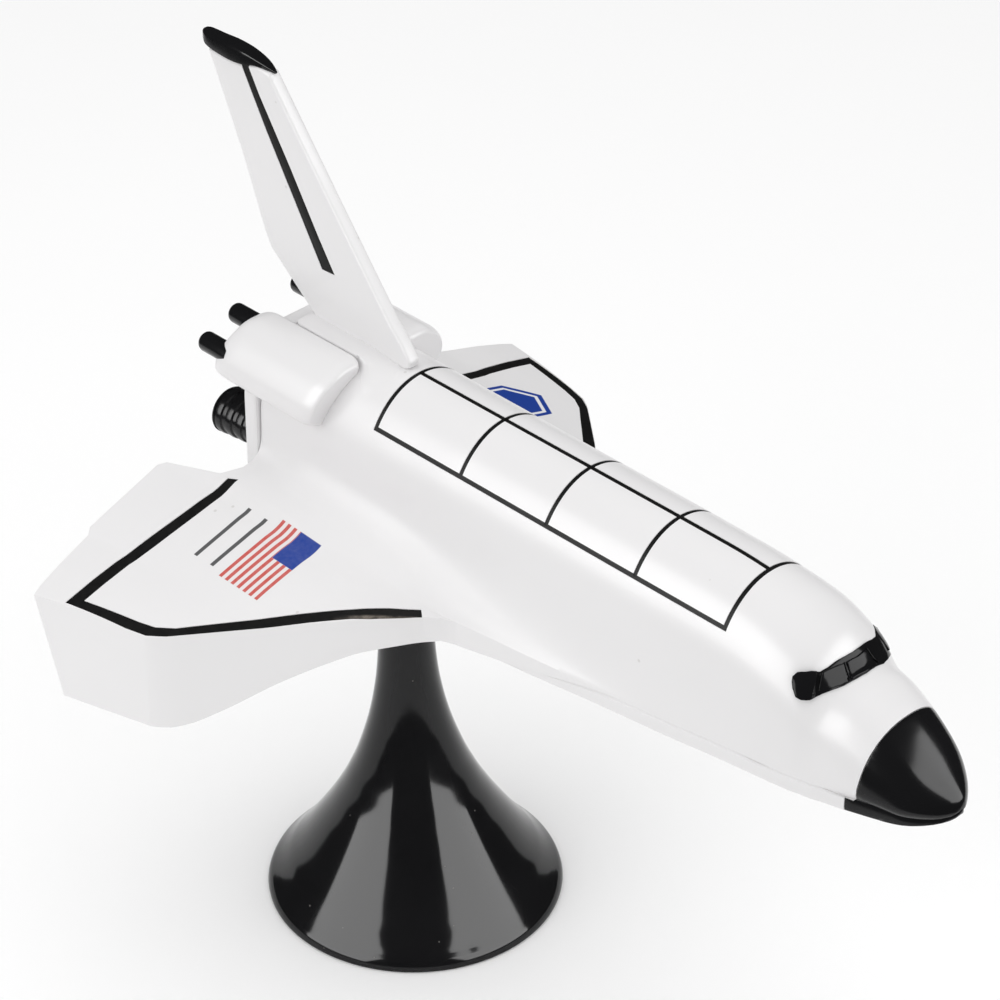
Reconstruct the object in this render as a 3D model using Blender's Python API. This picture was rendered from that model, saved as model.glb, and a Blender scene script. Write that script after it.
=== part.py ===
"""Toy space shuttle fixed on a flared display stand.

Origin: centre of the stand's base on the floor.  +X is the nose, +Y the port
side, +Z up.  Lengths below are millimetres and are scaled to metres at the end.
"""
import math

import bmesh
import bpy

MM = 0.001

# driving dimensions, millimetres
GAP = 0.25                 # clearance between neighbouring pieces
WALL = 2.0                 # moulded wall thickness
HULL_AFT = -26.2           # aft end of the upper shell
TOP_Z = 124.1              # crown of the payload bay
BELLY_T = 3.4              # thickness of the belly plate
NOSE_CUT_X = 121.3         # nose cap joint at the belly
NOSE_CUT_Z = 92.0
NOSE_CUT_SLOPE = 0.07      # lean of the nose cap joint, mm of x per mm of z
STAND_TOP = 86.0 - 0.25
WINDOW_OUT = 0.45          # how far the window band stands out of the shell
WINDOW_REGION = [(107.0, 112.0), (107.0, 113.6), (107.6, 114.4), (108.8, 114.9), (110.2, 115.6),
                 (112.0, 116.9), (116.2, 116.9), (115.8, 114.4), (113.6, 113.2), (111.2, 111.9), (109.8, 111.1),
                 (108.4, 111.1)]
NECK_AFT = 1.6             # the top of the neck sits this far aft of the base centre
FIN_T = 2.8                # fin thickness
FIN = [(-27.4, 125.2), (-0.6, 125.2), (-6.2, 134.9), (-17.3, 146.6), (-25.1, 156.8),
       (-32.5, 166.6), (-35.3, 171.6), (-39.6, 170.9), (-44.6, 170.6), (-52.8, 170.5), (-48.0, 157.3),
       (-44.0, 147.4), (-37.8, 134.3), (-32.2, 128.8)]
FIN_CAP = [(-53.0, 170.8), (-44.6, 170.9), (-39.6, 171.2), (-35.2, 171.9), (-35.2, 172.7), (-36.6, 173.4),
           (-54.3, 174.5)]
POD_X0 = -36.0
POD_X1 = -5.0
BULK_X0 = -30.0
BULK_X1 = -26.45
PEG_R = 2.05
PEGS = {"inner": (8.0, 121.8), "outer": (15.1, 118.1)}
PEG_END = -40.4
STAND_PROFILE = [(29.6, 0.0), (30.0, 0.5), (30.0, 2.4), (29.4, 3.0), (27.6, 4.1), (26.0, 5.5), (24.5, 7.0),
                 (22.9, 9.0), (21.4, 11.0), (19.8, 13.5), (18.5, 16.0), (17.1, 19.0), (15.8, 22.0),
                 (14.4, 25.0), (13.0, 28.0), (11.7, 31.0), (10.5, 34.0), (9.1, 38.0), (8.0, 42.0),
                 (6.9, 47.0), (6.05, 52.0), (5.4, 58.0), (5.05, 66.0), (5.0, STAND_TOP)]
STAND_INNER = [(27.8, 0.0), (27.6, 1.6), (25.3, 3.4), (22.4, 6.2), (19.6, 9.2), (17.0, 12.6), (14.8, 16.0),
               (12.8, 20.0), (11.0, 24.4), (9.2, 29.0), (7.4, 34.0), (5.6, 39.0), (3.4, 43.0), (0.0, 44.6)]

# fuselage stations: x, half width, crown z, height of greatest width, strake half
# width, strake top z, bottom z
STATIONS = [
    (-26.2, 14.2, 124.0, 107.0, 19.2, 97.6, 86.0),
    (-10.0, 14.2, 124.1, 107.0, 19.4, 97.6, 86.0),
    (3.6, 14.2, 124.1, 107.0, 19.8, 97.0, 86.0),
    (15.0, 14.1, 124.1, 107.0, 20.6, 95.6, 86.0),
    (22.0, 14.1, 124.1, 107.0, 21.4, 94.0, 86.0),
    (28.0, 14.0, 124.1, 107.0, 21.2, 92.6, 86.2),
    (35.0, 14.0, 124.1, 107.0, 19.6, 92.0, 86.5),
    (50.0, 14.0, 124.1, 107.0, 17.6, 91.8, 87.0),
    (66.0, 14.0, 124.1, 107.0, 15.8, 92.0, 88.0),
    (82.0, 13.8, 124.0, 107.0, 14.6, 93.0, 89.0),
    (92.0, 13.5, 123.3, 107.0, 14.0, 93.8, 90.0),
    (100.0, 13.1, 121.5, 106.5, 13.4, 94.4, 90.6),
    (106.0, 12.6, 119.7, 105.8, 12.8, 94.8, 91.0),
    (111.0, 11.9, 116.5, 104.8, 12.1, 95.2, 91.2),
    (116.0, 10.9, 112.4, 103.6, 11.2, 95.6, 91.3),
    (121.0, 9.7, 109.2, 102.2, 10.0, 95.9, 91.4),
    (126.0, 8.4, 106.8, 101.0, 8.5, 96.2, 91.7),
    (130.0, 6.9, 104.5, 100.0, 7.0, 96.4, 92.2),
    (133.0, 5.3, 102.4, 99.3, 5.4, 96.6, 93.1),
    (135.4, 3.7, 100.8, 98.7, 3.7, 96.8, 94.3),
    (136.8, 2.1, 99.6, 98.3, 2.0, 97.0, 95.6),
    (137.3, 0.8, 98.8, 98.1, 0.7, 97.4, 96.8),
]

# wing rows from root to tip: leading edge (x, y, top z), trailing edge (x, y, top z)
WING_ROWS = [
    ((44.0, 11.0, 92.0), (-25.7, 11.0, 97.4)),
    ((33.0, 18.5, 92.1), (-25.8, 18.5, 97.4)),
    ((28.0, 22.4, 92.2), (-26.4, 22.3, 96.6)),
    ((24.6, 27.0, 92.4), (-42.0, 26.6, 94.8)),
    ((20.0, 31.6, 92.0), (-41.8, 33.0, 92.7)),
    ((8.0, 42.1, 89.5), (-41.4, 45.4, 88.7)),
    ((5.0, 44.7, 88.9), (-40.0, 47.8, 88.1)),
    ((-2.5, 51.3, 87.4), (-38.4, 55.6, 86.6)),
    ((-8.4, 56.4, 86.1), (-37.0, 62.2, 85.0)),
    ((-10.6, 57.6, 85.6), (-36.4, 63.7, 84.5)),
]
WING_BOTTOM = [(0.0, 89.8), (20.9, 89.8), (21.2, 86.3), (26.7, 86.2), (31.7, 84.6), (36.5, 81.4),
               (42.8, 76.0), (49.6, 69.3), (53.9, 65.8), (57.0, 64.6), (70.0, 64.4)]
CHORD_STEPS = 12
TE_WALL_RUN = 7.0          # how far the trailing wall leans forward on its way down


def clear_scene():
    """Remove every object of the start-up file."""
    for obj in list(bpy.data.objects):
        bpy.data.objects.remove(obj, do_unlink=True)


def material(name, colour, rough, metallic=0.0):
    """Return a Principled material."""
    mat = bpy.data.materials.new(name)
    mat.use_nodes = True
    bsdf = mat.node_tree.nodes["Principled BSDF"]
    bsdf.inputs["Base Color"].default_value = (*colour, 1.0)
    bsdf.inputs["Roughness"].default_value = rough
    bsdf.inputs["Metallic"].default_value = metallic
    mat.diffuse_color = (*colour, 1.0)
    return mat


def add_object(name, verts, faces, mat=None, smooth=True):
    """Make an object from millimetre vertices, with outward normals."""
    mesh = bpy.data.meshes.new(name)
    mesh.from_pydata([(x * MM, y * MM, z * MM) for x, y, z in verts], [], faces)
    bm = bmesh.new()
    bm.from_mesh(mesh)
    bmesh.ops.remove_doubles(bm, verts=bm.verts, dist=1e-7)
    bmesh.ops.recalc_face_normals(bm, faces=bm.faces)
    bm.to_mesh(mesh)
    bm.free()
    if smooth:
        for poly in mesh.polygons:
            poly.use_smooth = True
    obj = bpy.data.objects.new(name, mesh)
    bpy.context.scene.collection.objects.link(obj)
    if mat is not None:
        mesh.materials.append(mat)
    return obj


def loft(rings):
    """Return vertices and faces of closed rings joined in order, ends capped."""
    count = len(rings[0])
    verts = [p for ring in rings for p in ring]
    faces = []
    for r in range(len(rings) - 1):
        for i in range(count):
            j = (i + 1) % count
            faces.append((r * count + i, r * count + j, (r + 1) * count + j, (r + 1) * count + i))
    faces.append(tuple(range(count)))
    faces.append(tuple((len(rings) - 1) * count + i for i in reversed(range(count))))
    return verts, faces


def lerp(a, b, t):
    """Blend two tuples."""
    return tuple(p + (q - p) * t for p, q in zip(a, b))


def smooth_stations(stations, step):
    """Resample the stations so that none are further apart than step."""
    out = []
    for a, b in zip(stations, stations[1:]):
        n = max(1, math.ceil((b[0] - a[0]) / step))
        for k in range(n):
            out.append(lerp(a, b, k / n))
    out.append(stations[-1])
    return out


def body_half(station, grow):
    """Half cross-section from crown to keel as (y, z) pairs, y positive."""
    _, w, zt, zs, wc, zc, zb = station
    w += grow
    wc += grow
    zt += grow
    zb -= grow
    pts = []
    power = 2.0 / 2.05
    for k in range(13):
        a = math.pi / 2 * (1 - k / 12)
        pts.append((w * max(math.cos(a), 0.0) ** power, zs + (zt - zs) * math.sin(a) ** power))
    pts[0] = (0.0, zt)
    p0, p1, p2, p3 = (w, zs), (w, zs - (zs - zc) * 0.45), (w + (wc - w) * 0.35, zc + 2.2), (wc, zc)
    for k in range(1, 7):
        t = k / 6
        u = 1 - t
        pts.append(tuple(u ** 3 * a + 3 * u * u * t * b + 3 * u * t * t * c + t ** 3 * d
                         for a, b, c, d in zip(p0, p1, p2, p3)))
    pts.append((wc, (zc + zb) / 2))
    pts.append((wc - min(0.8, wc * 0.2), zb))
    pts.append((wc * 0.5, zb))
    pts.append((0.0, zb))
    return pts


def body_rings(grow=0.0, x_min=None, x_max=None, step=4.0):
    """Rings of the body from aft to the nose tip, or between two x values."""
    rings = []
    for st in smooth_stations(STATIONS, step):
        if x_max is not None and st[0] > x_max:
            break
        if grow < 0.0 and x_min is not None and st[0] < x_min:
            continue
        x = st[0]
        half = body_half(st, grow)
        if st is STATIONS[-1] and grow:
            x += grow
        ring = [(x, y, z) for y, z in half]
        ring += [(x, -y, z) for y, z in reversed(half[1:-1])]
        rings.append(ring)
    if x_min is not None:
        first = [(x_min, y, z) for _, y, z in rings[0]]
        rings.insert(0, first)
    return rings


def body(name, grow=0.0, x_min=None, x_max=None):
    """Make a solid of the whole fuselage, or of its inside if grow is negative."""
    return add_object(name, *loft(body_rings(grow, x_min, x_max)))


def boolean(obj, other, operation, keep=False):
    """Apply an exact boolean and drop the other object."""
    mod = obj.modifiers.new("cut", "BOOLEAN")
    mod.operation = operation
    mod.object = other
    mod.solver = "EXACT"
    graph = bpy.context.evaluated_depsgraph_get()
    mesh = bpy.data.meshes.new_from_object(obj.evaluated_get(graph))
    obj.modifiers.remove(mod)
    old = obj.data
    obj.data = mesh
    bpy.data.meshes.remove(old)
    if not keep:
        bpy.data.objects.remove(other, do_unlink=True)
    return obj


def prism(name, outline, y0, y1, axis="y"):
    """Make a prism of an outline in the XZ plane between two y values."""
    n = len(outline)
    if axis == "y":
        verts = [(x, y0, z) for x, z in outline] + [(x, y1, z) for x, z in outline]
    else:
        verts = [(x, y, y0) for x, y in outline] + [(x, y, y1) for x, y in outline]
    faces = [tuple(range(n)), tuple(reversed(range(n, 2 * n)))]
    faces += [(i, i + n, (i + 1) % n + n, (i + 1) % n) for i in range(n)]
    return add_object(name, verts, faces, smooth=False)


def interp(table, x):
    """Linear look-up."""
    if x <= table[0][0]:
        return table[0][1]
    for (xa, ya), (xb, yb) in zip(table, table[1:]):
        if x <= xb:
            return ya + (yb - ya) * (x - xa) / (xb - xa)
    return table[-1][1]


def wing(name, side):
    """Make one thick wing with its elevons; side is -1 for starboard."""
    rings = []
    for le, te in WING_ROWS:
        low = interp(WING_BOTTOM, le[1])
        low_te = interp(WING_BOTTOM, te[1])
        run = TE_WALL_RUN * (te[2] - low_te) / 20.0 if te[1] > 19.0 else 0.0
        top = []
        bottom = []
        for k in range(CHORD_STEPS + 1):
            s = k / CHORD_STEPS
            x, y, z = lerp(le, te, s)
            bow = 0.5 * math.sin(math.pi * s) if te[1] > 21.0 else 0.0
            top.append((x, side * y, z + bow))
            bottom.append((le[0] + (te[0] + run - le[0]) * s, side * y, low + (low_te - low) * s))
        rings.append(top + list(reversed(bottom)))
    return add_object(name, *loft(rings))


def bevel(obj, width, segments=3, angle=40.0):
    """Round the sharp edges of an object."""
    mod = obj.modifiers.new("round", "BEVEL")
    mod.width = width * MM
    mod.segments = segments
    mod.limit_method = "ANGLE"
    mod.angle_limit = math.radians(angle)
    graph = bpy.context.evaluated_depsgraph_get()
    mesh = bpy.data.meshes.new_from_object(obj.evaluated_get(graph))
    obj.modifiers.remove(mod)
    obj.data = mesh
    return obj


def revolve(name, profile, axis_point, axis="z", steps=48, mat=None, lean=None):
    """Revolve a closed list of (radius, height) pairs; lean(height) shifts the axis along X."""
    n = len(profile)
    verts = []
    index = []
    for k in range(steps):
        a = 2 * math.pi * k / steps
        row = []
        for r, h in profile:
            if r == 0.0 and k > 0:
                row.append(index[0][len(row)])
                continue
            c, s = r * math.cos(a), r * math.sin(a)
            if axis == "z":
                shift = lean(h) if lean else 0.0
                verts.append((axis_point[0] + c + shift, axis_point[1] + s, h))
            else:
                verts.append((h, axis_point[0] + c, axis_point[1] + s))
            row.append(len(verts) - 1)
        index.append(row)
    faces = []
    for k in range(steps):
        a, b = index[k], index[(k + 1) % steps]
        for i in range(n):
            j = (i + 1) % n
            face = []
            for v in (a[i], a[j], b[j], b[i]):
                if v not in face:
                    face.append(v)
            if len(face) > 2:
                faces.append(tuple(face))
    return add_object(name, verts, faces, mat)


def stand_lean(height):
    """How far the neck of the stand sits aft of the base's centre at a height."""
    t = min(1.0, max(0.0, (height - 8.0) / 56.0))
    return -NECK_AFT * t * t * (3.0 - 2.0 * t)


def rounded_outline(pts, radius, steps=5):
    """Round the corners of a convex outline."""
    out = []
    n = len(pts)
    for i in range(n):
        p, a, b = pts[i], pts[i - 1], pts[(i + 1) % n]
        va = (a[0] - p[0], a[1] - p[1])
        vb = (b[0] - p[0], b[1] - p[1])
        la, lb = math.hypot(*va), math.hypot(*vb)
        d = min(radius, la * 0.45, lb * 0.45)
        s = (p[0] + va[0] / la * d, p[1] + va[1] / la * d)
        e = (p[0] + vb[0] / lb * d, p[1] + vb[1] / lb * d)
        for k in range(steps + 1):
            t = k / steps
            u = 1 - t
            out.append((u * u * s[0] + 2 * u * t * p[0] + t * t * e[0],
                        u * u * s[1] + 2 * u * t * p[1] + t * t * e[1]))
    return out


def pod(name, side, mat):
    """Make one engine pod as a soft rounded box over the shoulder."""
    outline = rounded_outline([(6.1, 125.3), (10.8, 125.3), (15.6, 121.6), (17.7, 116.8),
                               (17.5, 112.4), (12.0, 110.0), (6.1, 112.0)], 3.0)
    cy = sum(p[0] for p in outline) / len(outline)
    cz = 115.4
    rings = []
    span = POD_X1 - POD_X0
    for k in range(25):
        t = k / 24
        x = POD_X0 + span * t
        aft = min(1.0, (x - POD_X0 + 0.5) / 9.0)
        fore = min(1.0, (POD_X1 - x + 0.4) / 2.6)
        scale = (1 - (1 - aft) ** 2.2 * 0.38) * (1 - (1 - fore) ** 2.4 * 0.2)
        rings.append([(x, side * (cy + (y - cy) * scale), cz + (z - cz) * scale)
                      for y, z in outline])
    obj = add_object(name, *loft(rings), mat)
    boolean(obj, body("cutter", GAP, -60.0), "DIFFERENCE")
    return obj


def bulkhead(name, grow):
    """Make the plate that closes the aft end of the body."""
    g = grow
    outline = rounded_outline([(-15.2 - g, 92.0 - g), (15.2 + g, 92.0 - g), (15.2 + g, 112.0),
                               (9.5 + g, 123.6 + g), (-9.5 - g, 123.6 + g), (-15.2 - g, 112.0)], 1.6)
    n = len(outline)
    verts = [(BULK_X0 - g, y, z) for y, z in outline] + [(BULK_X1 + g, y, z) for y, z in outline]
    faces = [tuple(range(n)), tuple(reversed(range(n, 2 * n)))]
    faces += [(i, i + n, (i + 1) % n + n, (i + 1) % n) for i in range(n)]
    return add_object(name, verts, faces, smooth=False)


def bell(name, cy, cz, x_root, x_end, r_root, r_end, mat):
    """Make one ribbed engine bell, solid, pointing aft."""
    prof = [(0.0, x_root), (r_root, x_root)]
    ribs = 5
    for k in range(ribs):
        t0 = k / ribs
        t1 = (k + 0.7) / ribs
        for t, extra in ((t0, 0.0), (t0 + 0.04, 0.35), (t1, 0.35), (t1 + 0.04, 0.0)):
            shape = t ** 0.6
            prof.append((r_root + (r_end - r_root) * shape + extra - 0.35,
                         x_root + (x_end - x_root) * t))
    prof += [(r_end, x_end), (r_end - 0.9, x_end), (r_end - 1.6, x_end + 2.4), (0.0, x_end + 3.2)]
    return revolve(name, prof, (cy, cz), "x", 32, mat)


def main():
    """Build every piece."""
    clear_scene()
    white = {n: material(n, (0.86, 0.86, 0.86), 0.22) for n in
             ("hull_white", "belly_white", "fin_white", "pad_white", "bulkhead_white",
              "pod_white_r", "pod_white_l")}
    black = {n: material(n, (0.012, 0.012, 0.012), 0.15) for n in
             ("cap_black", "nose_black", "window_black", "peg_black_1", "peg_black_2",
              "peg_black_3", "peg_black_4", "bell_black_r", "bell_black_l", "bell_black_t",
              "stand_black")}

    cut_top = NOSE_CUT_X + (140.0 - NOSE_CUT_Z) * NOSE_CUT_SLOPE
    cut_low = NOSE_CUT_X + (80.0 - NOSE_CUT_Z) * NOSE_CUT_SLOPE
    fore_box = [(cut_low, 80.0), (150.0, 80.0), (150.0, 140.0), (cut_top, 140.0)]

    belly_line = [(st[0], st[6] + BELLY_T) for st in STATIONS]
    slab = [(-60.0, 80.0)] + [(x, z) for x, z in [(-60.0, belly_line[0][1])] + belly_line[1:17]]
    slab += [(140.0, 80.0)]

    hull = body("hull")
    hull.data.materials.append(white["hull_white"])
    boolean(hull, wing("wing_r", -1), "UNION")
    boolean(hull, wing("wing_l", 1), "UNION")
    boolean(hull, prism("cutter", fore_box, -30, 30), "DIFFERENCE")
    plate = body("belly_plate")
    plate.data.materials.append(white["belly_white"])
    boolean(plate, prism("cutter", fore_box, -30, 30), "DIFFERENCE")
    under = [(x, z) for x, z in slab]
    boolean(plate, prism("cutter", under, -40, 40), "INTERSECT")
    grown = body("cutter", GAP, -26.9)
    under_gap = [(x, z + (GAP if z > 80.5 else -1.0)) for x, z in slab]
    boolean(grown, prism("cutter2", under_gap, -40, 40), "INTERSECT")
    boolean(hull, grown, "DIFFERENCE")
    boolean(hull, body("cutter", -WALL, HULL_AFT + WALL, 118.5), "DIFFERENCE")

    nose = body("nose_cap")
    nose.data.materials.append(black["nose_black"])
    boolean(nose, prism("cutter", [(x + GAP if x < 149.0 else x, z) for x, z in fore_box], -30, 30),
            "INTERSECT")
    boolean(nose, body("cutter", -WALL, 100.0, 132.5), "DIFFERENCE")

    fin = prism("fin", FIN, -FIN_T / 2, FIN_T / 2)
    fin.data.materials.append(white["fin_white"])
    bevel(fin, 0.9)
    cap = prism("fin_cap", FIN_CAP, -FIN_T / 2, FIN_T / 2)
    cap.data.materials.append(black["cap_black"])
    bevel(cap, 0.7)

    pad = prism("deck_pad", rounded_outline([(-25.6, -5.4), (-5.0, -5.4), (6.0, -2.0), (6.0, 2.0),
                                             (-5.0, 5.4), (-25.6, 5.4)], 2.0), 118.0, 124.95, "z")
    pad.data.materials.append(white["pad_white"])
    bevel(pad, 0.5, 2)
    boolean(pad, body("cutter", GAP * 0.4, -60.0), "DIFFERENCE")

    for side, tag in ((-1, "right"), (1, "left")):
        pod("oms_pod_" + tag, side, white["pod_white_r" if side < 0 else "pod_white_l"])

    bulk = bulkhead("aft_bulkhead", 0.0)
    bulk.data.materials.append(white["bulkhead_white"])
    bevel(bulk, 0.6, 2)
    for tag in ("right", "left"):
        boolean(bpy.data.objects["oms_pod_" + tag], bulkhead("cutter", GAP), "DIFFERENCE")

    tags = {"inner": 1, "outer": 2}
    for side, tag in ((-1, "right"), (1, "left")):
        for key, (py, pz) in PEGS.items():
            mat = black["peg_black_%d" % (tags[key] + (0 if side < 0 else 2))]
            prof = [(0.0, -33.2), (PEG_R, -33.2), (PEG_R, PEG_END + 1.1), (PEG_R - 0.35, PEG_END + 0.35),
                    (PEG_R - 1.0, PEG_END), (0.0, PEG_END)]
            peg = revolve("peg_%s_%s" % (key, tag), prof, (side * py, pz), "x", 24, mat)
            hole = [(0.0, -32.6), (PEG_R + 0.12, -32.6), (PEG_R + 0.12, -60.0), (0.0, -60.0)]
            cutter = revolve("cutter", hole, (side * py, pz), "x", 24)
            boolean(bpy.data.objects["oms_pod_" + tag], cutter, "DIFFERENCE")

    bell("engine_bell_right", -7.0, 97.2, BULK_X0 - GAP, -43.2, 3.2, 4.8, black["bell_black_r"])
    bell("engine_bell_left", 7.0, 97.2, BULK_X0 - GAP, -43.2, 3.2, 4.8, black["bell_black_l"])
    bell("engine_bell_top", 0.0, 108.6, BULK_X0 - GAP, -41.0, 3.0, 4.6, black["bell_black_t"])

    band = body("window_band", WINDOW_OUT)
    band.data.materials.append(black["window_black"])
    boolean(band, prism("cutter", WINDOW_REGION, -30, 30), "INTERSECT")
    boolean(band, body("cutter", 0.12), "DIFFERENCE")

    profile = [(0.0, STAND_TOP)] + [(r, z) for r, z in reversed(STAND_PROFILE)]
    profile += STAND_INNER
    revolve("stand", profile, (0.0, 0.0), "z", 72, black["stand_black"], stand_lean)


main()
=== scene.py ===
"""Toy space shuttle on a flared display stand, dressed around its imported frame.

Everything is in metres in the frame's own axes: the origin is the centre of the
stand's base, +X is the nose, +Y the port side and +Z up. Sizes in the classes
below are millimetres, and Bench scales them when it lays a mesh.
"""
from __future__ import annotations

import logging
import math
from collections.abc import Callable, Sequence
from dataclasses import dataclass
from enum import Enum

import bmesh
import bpy
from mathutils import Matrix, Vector
from mathutils.bvhtree import BVHTree


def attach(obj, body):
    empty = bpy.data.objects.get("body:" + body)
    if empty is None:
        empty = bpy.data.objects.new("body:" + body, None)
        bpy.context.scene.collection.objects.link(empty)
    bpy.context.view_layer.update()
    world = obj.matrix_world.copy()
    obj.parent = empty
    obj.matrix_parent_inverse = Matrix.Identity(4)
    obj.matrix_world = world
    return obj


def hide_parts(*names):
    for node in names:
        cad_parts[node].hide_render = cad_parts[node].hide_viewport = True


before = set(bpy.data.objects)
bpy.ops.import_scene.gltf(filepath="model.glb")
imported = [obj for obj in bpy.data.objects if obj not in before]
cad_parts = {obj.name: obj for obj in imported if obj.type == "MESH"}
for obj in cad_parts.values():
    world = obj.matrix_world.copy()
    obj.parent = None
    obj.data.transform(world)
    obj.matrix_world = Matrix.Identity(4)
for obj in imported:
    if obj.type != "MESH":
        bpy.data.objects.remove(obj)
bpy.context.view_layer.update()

MM = 0.001
LOG = logging.getLogger("shuttle")

Point = tuple[float, float, float]
Flat = tuple[float, float]
Pair = tuple[Flat, Flat]
Band = tuple[Pair, ...]
Piece = bpy.types.Object
EdgeTest = Callable[[bmesh.types.BMEdge, Vector], bool]


class Side(Enum):
    """One side of the toy; the value is the sign of Y."""

    RIGHT = -1
    LEFT = 1

    @property
    def tag(self) -> str:
        """The word that ends the names of the pieces on this side."""
        return self.name.lower()


class Curve:
    """A smooth line through keyed values that never overshoots them."""

    def __init__(self, keys: Sequence[float], values: Sequence[float]) -> None:
        """Work out the slope at each key.

        Args:
            keys: rising positions.
            values: the value at each position.
        """
        self.keys = list(keys)
        self.values = list(values)
        n = len(self.keys)
        gap = [self.keys[i + 1] - self.keys[i] for i in range(n - 1)]
        rise = [(self.values[i + 1] - self.values[i]) / gap[i] for i in range(n - 1)]
        self.slopes = [rise[0]] + [0.0] * (n - 2) + [rise[-1]]
        for i in range(1, n - 1):
            if rise[i - 1] * rise[i] > 0.0:
                a = 2 * gap[i] + gap[i - 1]
                b = gap[i] + 2 * gap[i - 1]
                self.slopes[i] = (a + b) / (a / rise[i - 1] + b / rise[i])

    def at(self, key: float) -> float:
        """Value at a position.

        Args:
            key: where to read the line.

        Returns:
            The value there, held at the ends.
        """
        if key <= self.keys[0]:
            return self.values[0]
        if key >= self.keys[-1]:
            return self.values[-1]
        i = max(j for j in range(len(self.keys) - 1) if self.keys[j] <= key)
        gap = self.keys[i + 1] - self.keys[i]
        t = (key - self.keys[i]) / gap
        a, b = self.values[i], self.values[i + 1]
        u, v = self.slopes[i] * gap, self.slopes[i + 1] * gap
        return (
            a * (1 + 2 * t) * (1 - t) ** 2
            + u * t * (1 - t) ** 2
            + b * t * t * (3 - 2 * t)
            + v * t * t * (t - 1)
        )


def ramp(value: float, low: float, high: float) -> float:
    """Smooth step of a value, from 0 at low to 1 at high."""
    t = min(1.0, max(0.0, (value - low) / (high - low)))
    return t * t * (3.0 - 2.0 * t)


def mix(a: float, b: float, t: float) -> float:
    """Blend of two numbers."""
    return a + (b - a) * t


def ring(along: float, half: Sequence[Flat]) -> list[Point]:
    """A closed ring across the toy, from its port half that starts and ends in the middle."""
    return [(along, y, z) for y, z in half] + [(along, -y, z) for y, z in reversed(half[1:-1])]


def turned(profile: Sequence[Flat], y: float, z: float, steps: int) -> list[list[Point]]:
    """Rings about a line along the toy, one to each pair of a radius and a place on it."""
    turns = [a * math.tau / steps for a in range(steps)]
    return [[(x, y + r * math.cos(a), z + r * math.sin(a)) for a in turns] for r, x in profile]


def shoulder(share: float) -> float:
    """How far a round shoulder has dropped: 1 at its end, and 0 from a share of 1 on."""
    left = 1.0 - min(1.0, max(0.0, share))
    return 1.0 - math.sqrt(1.0 - left * left)


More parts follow.
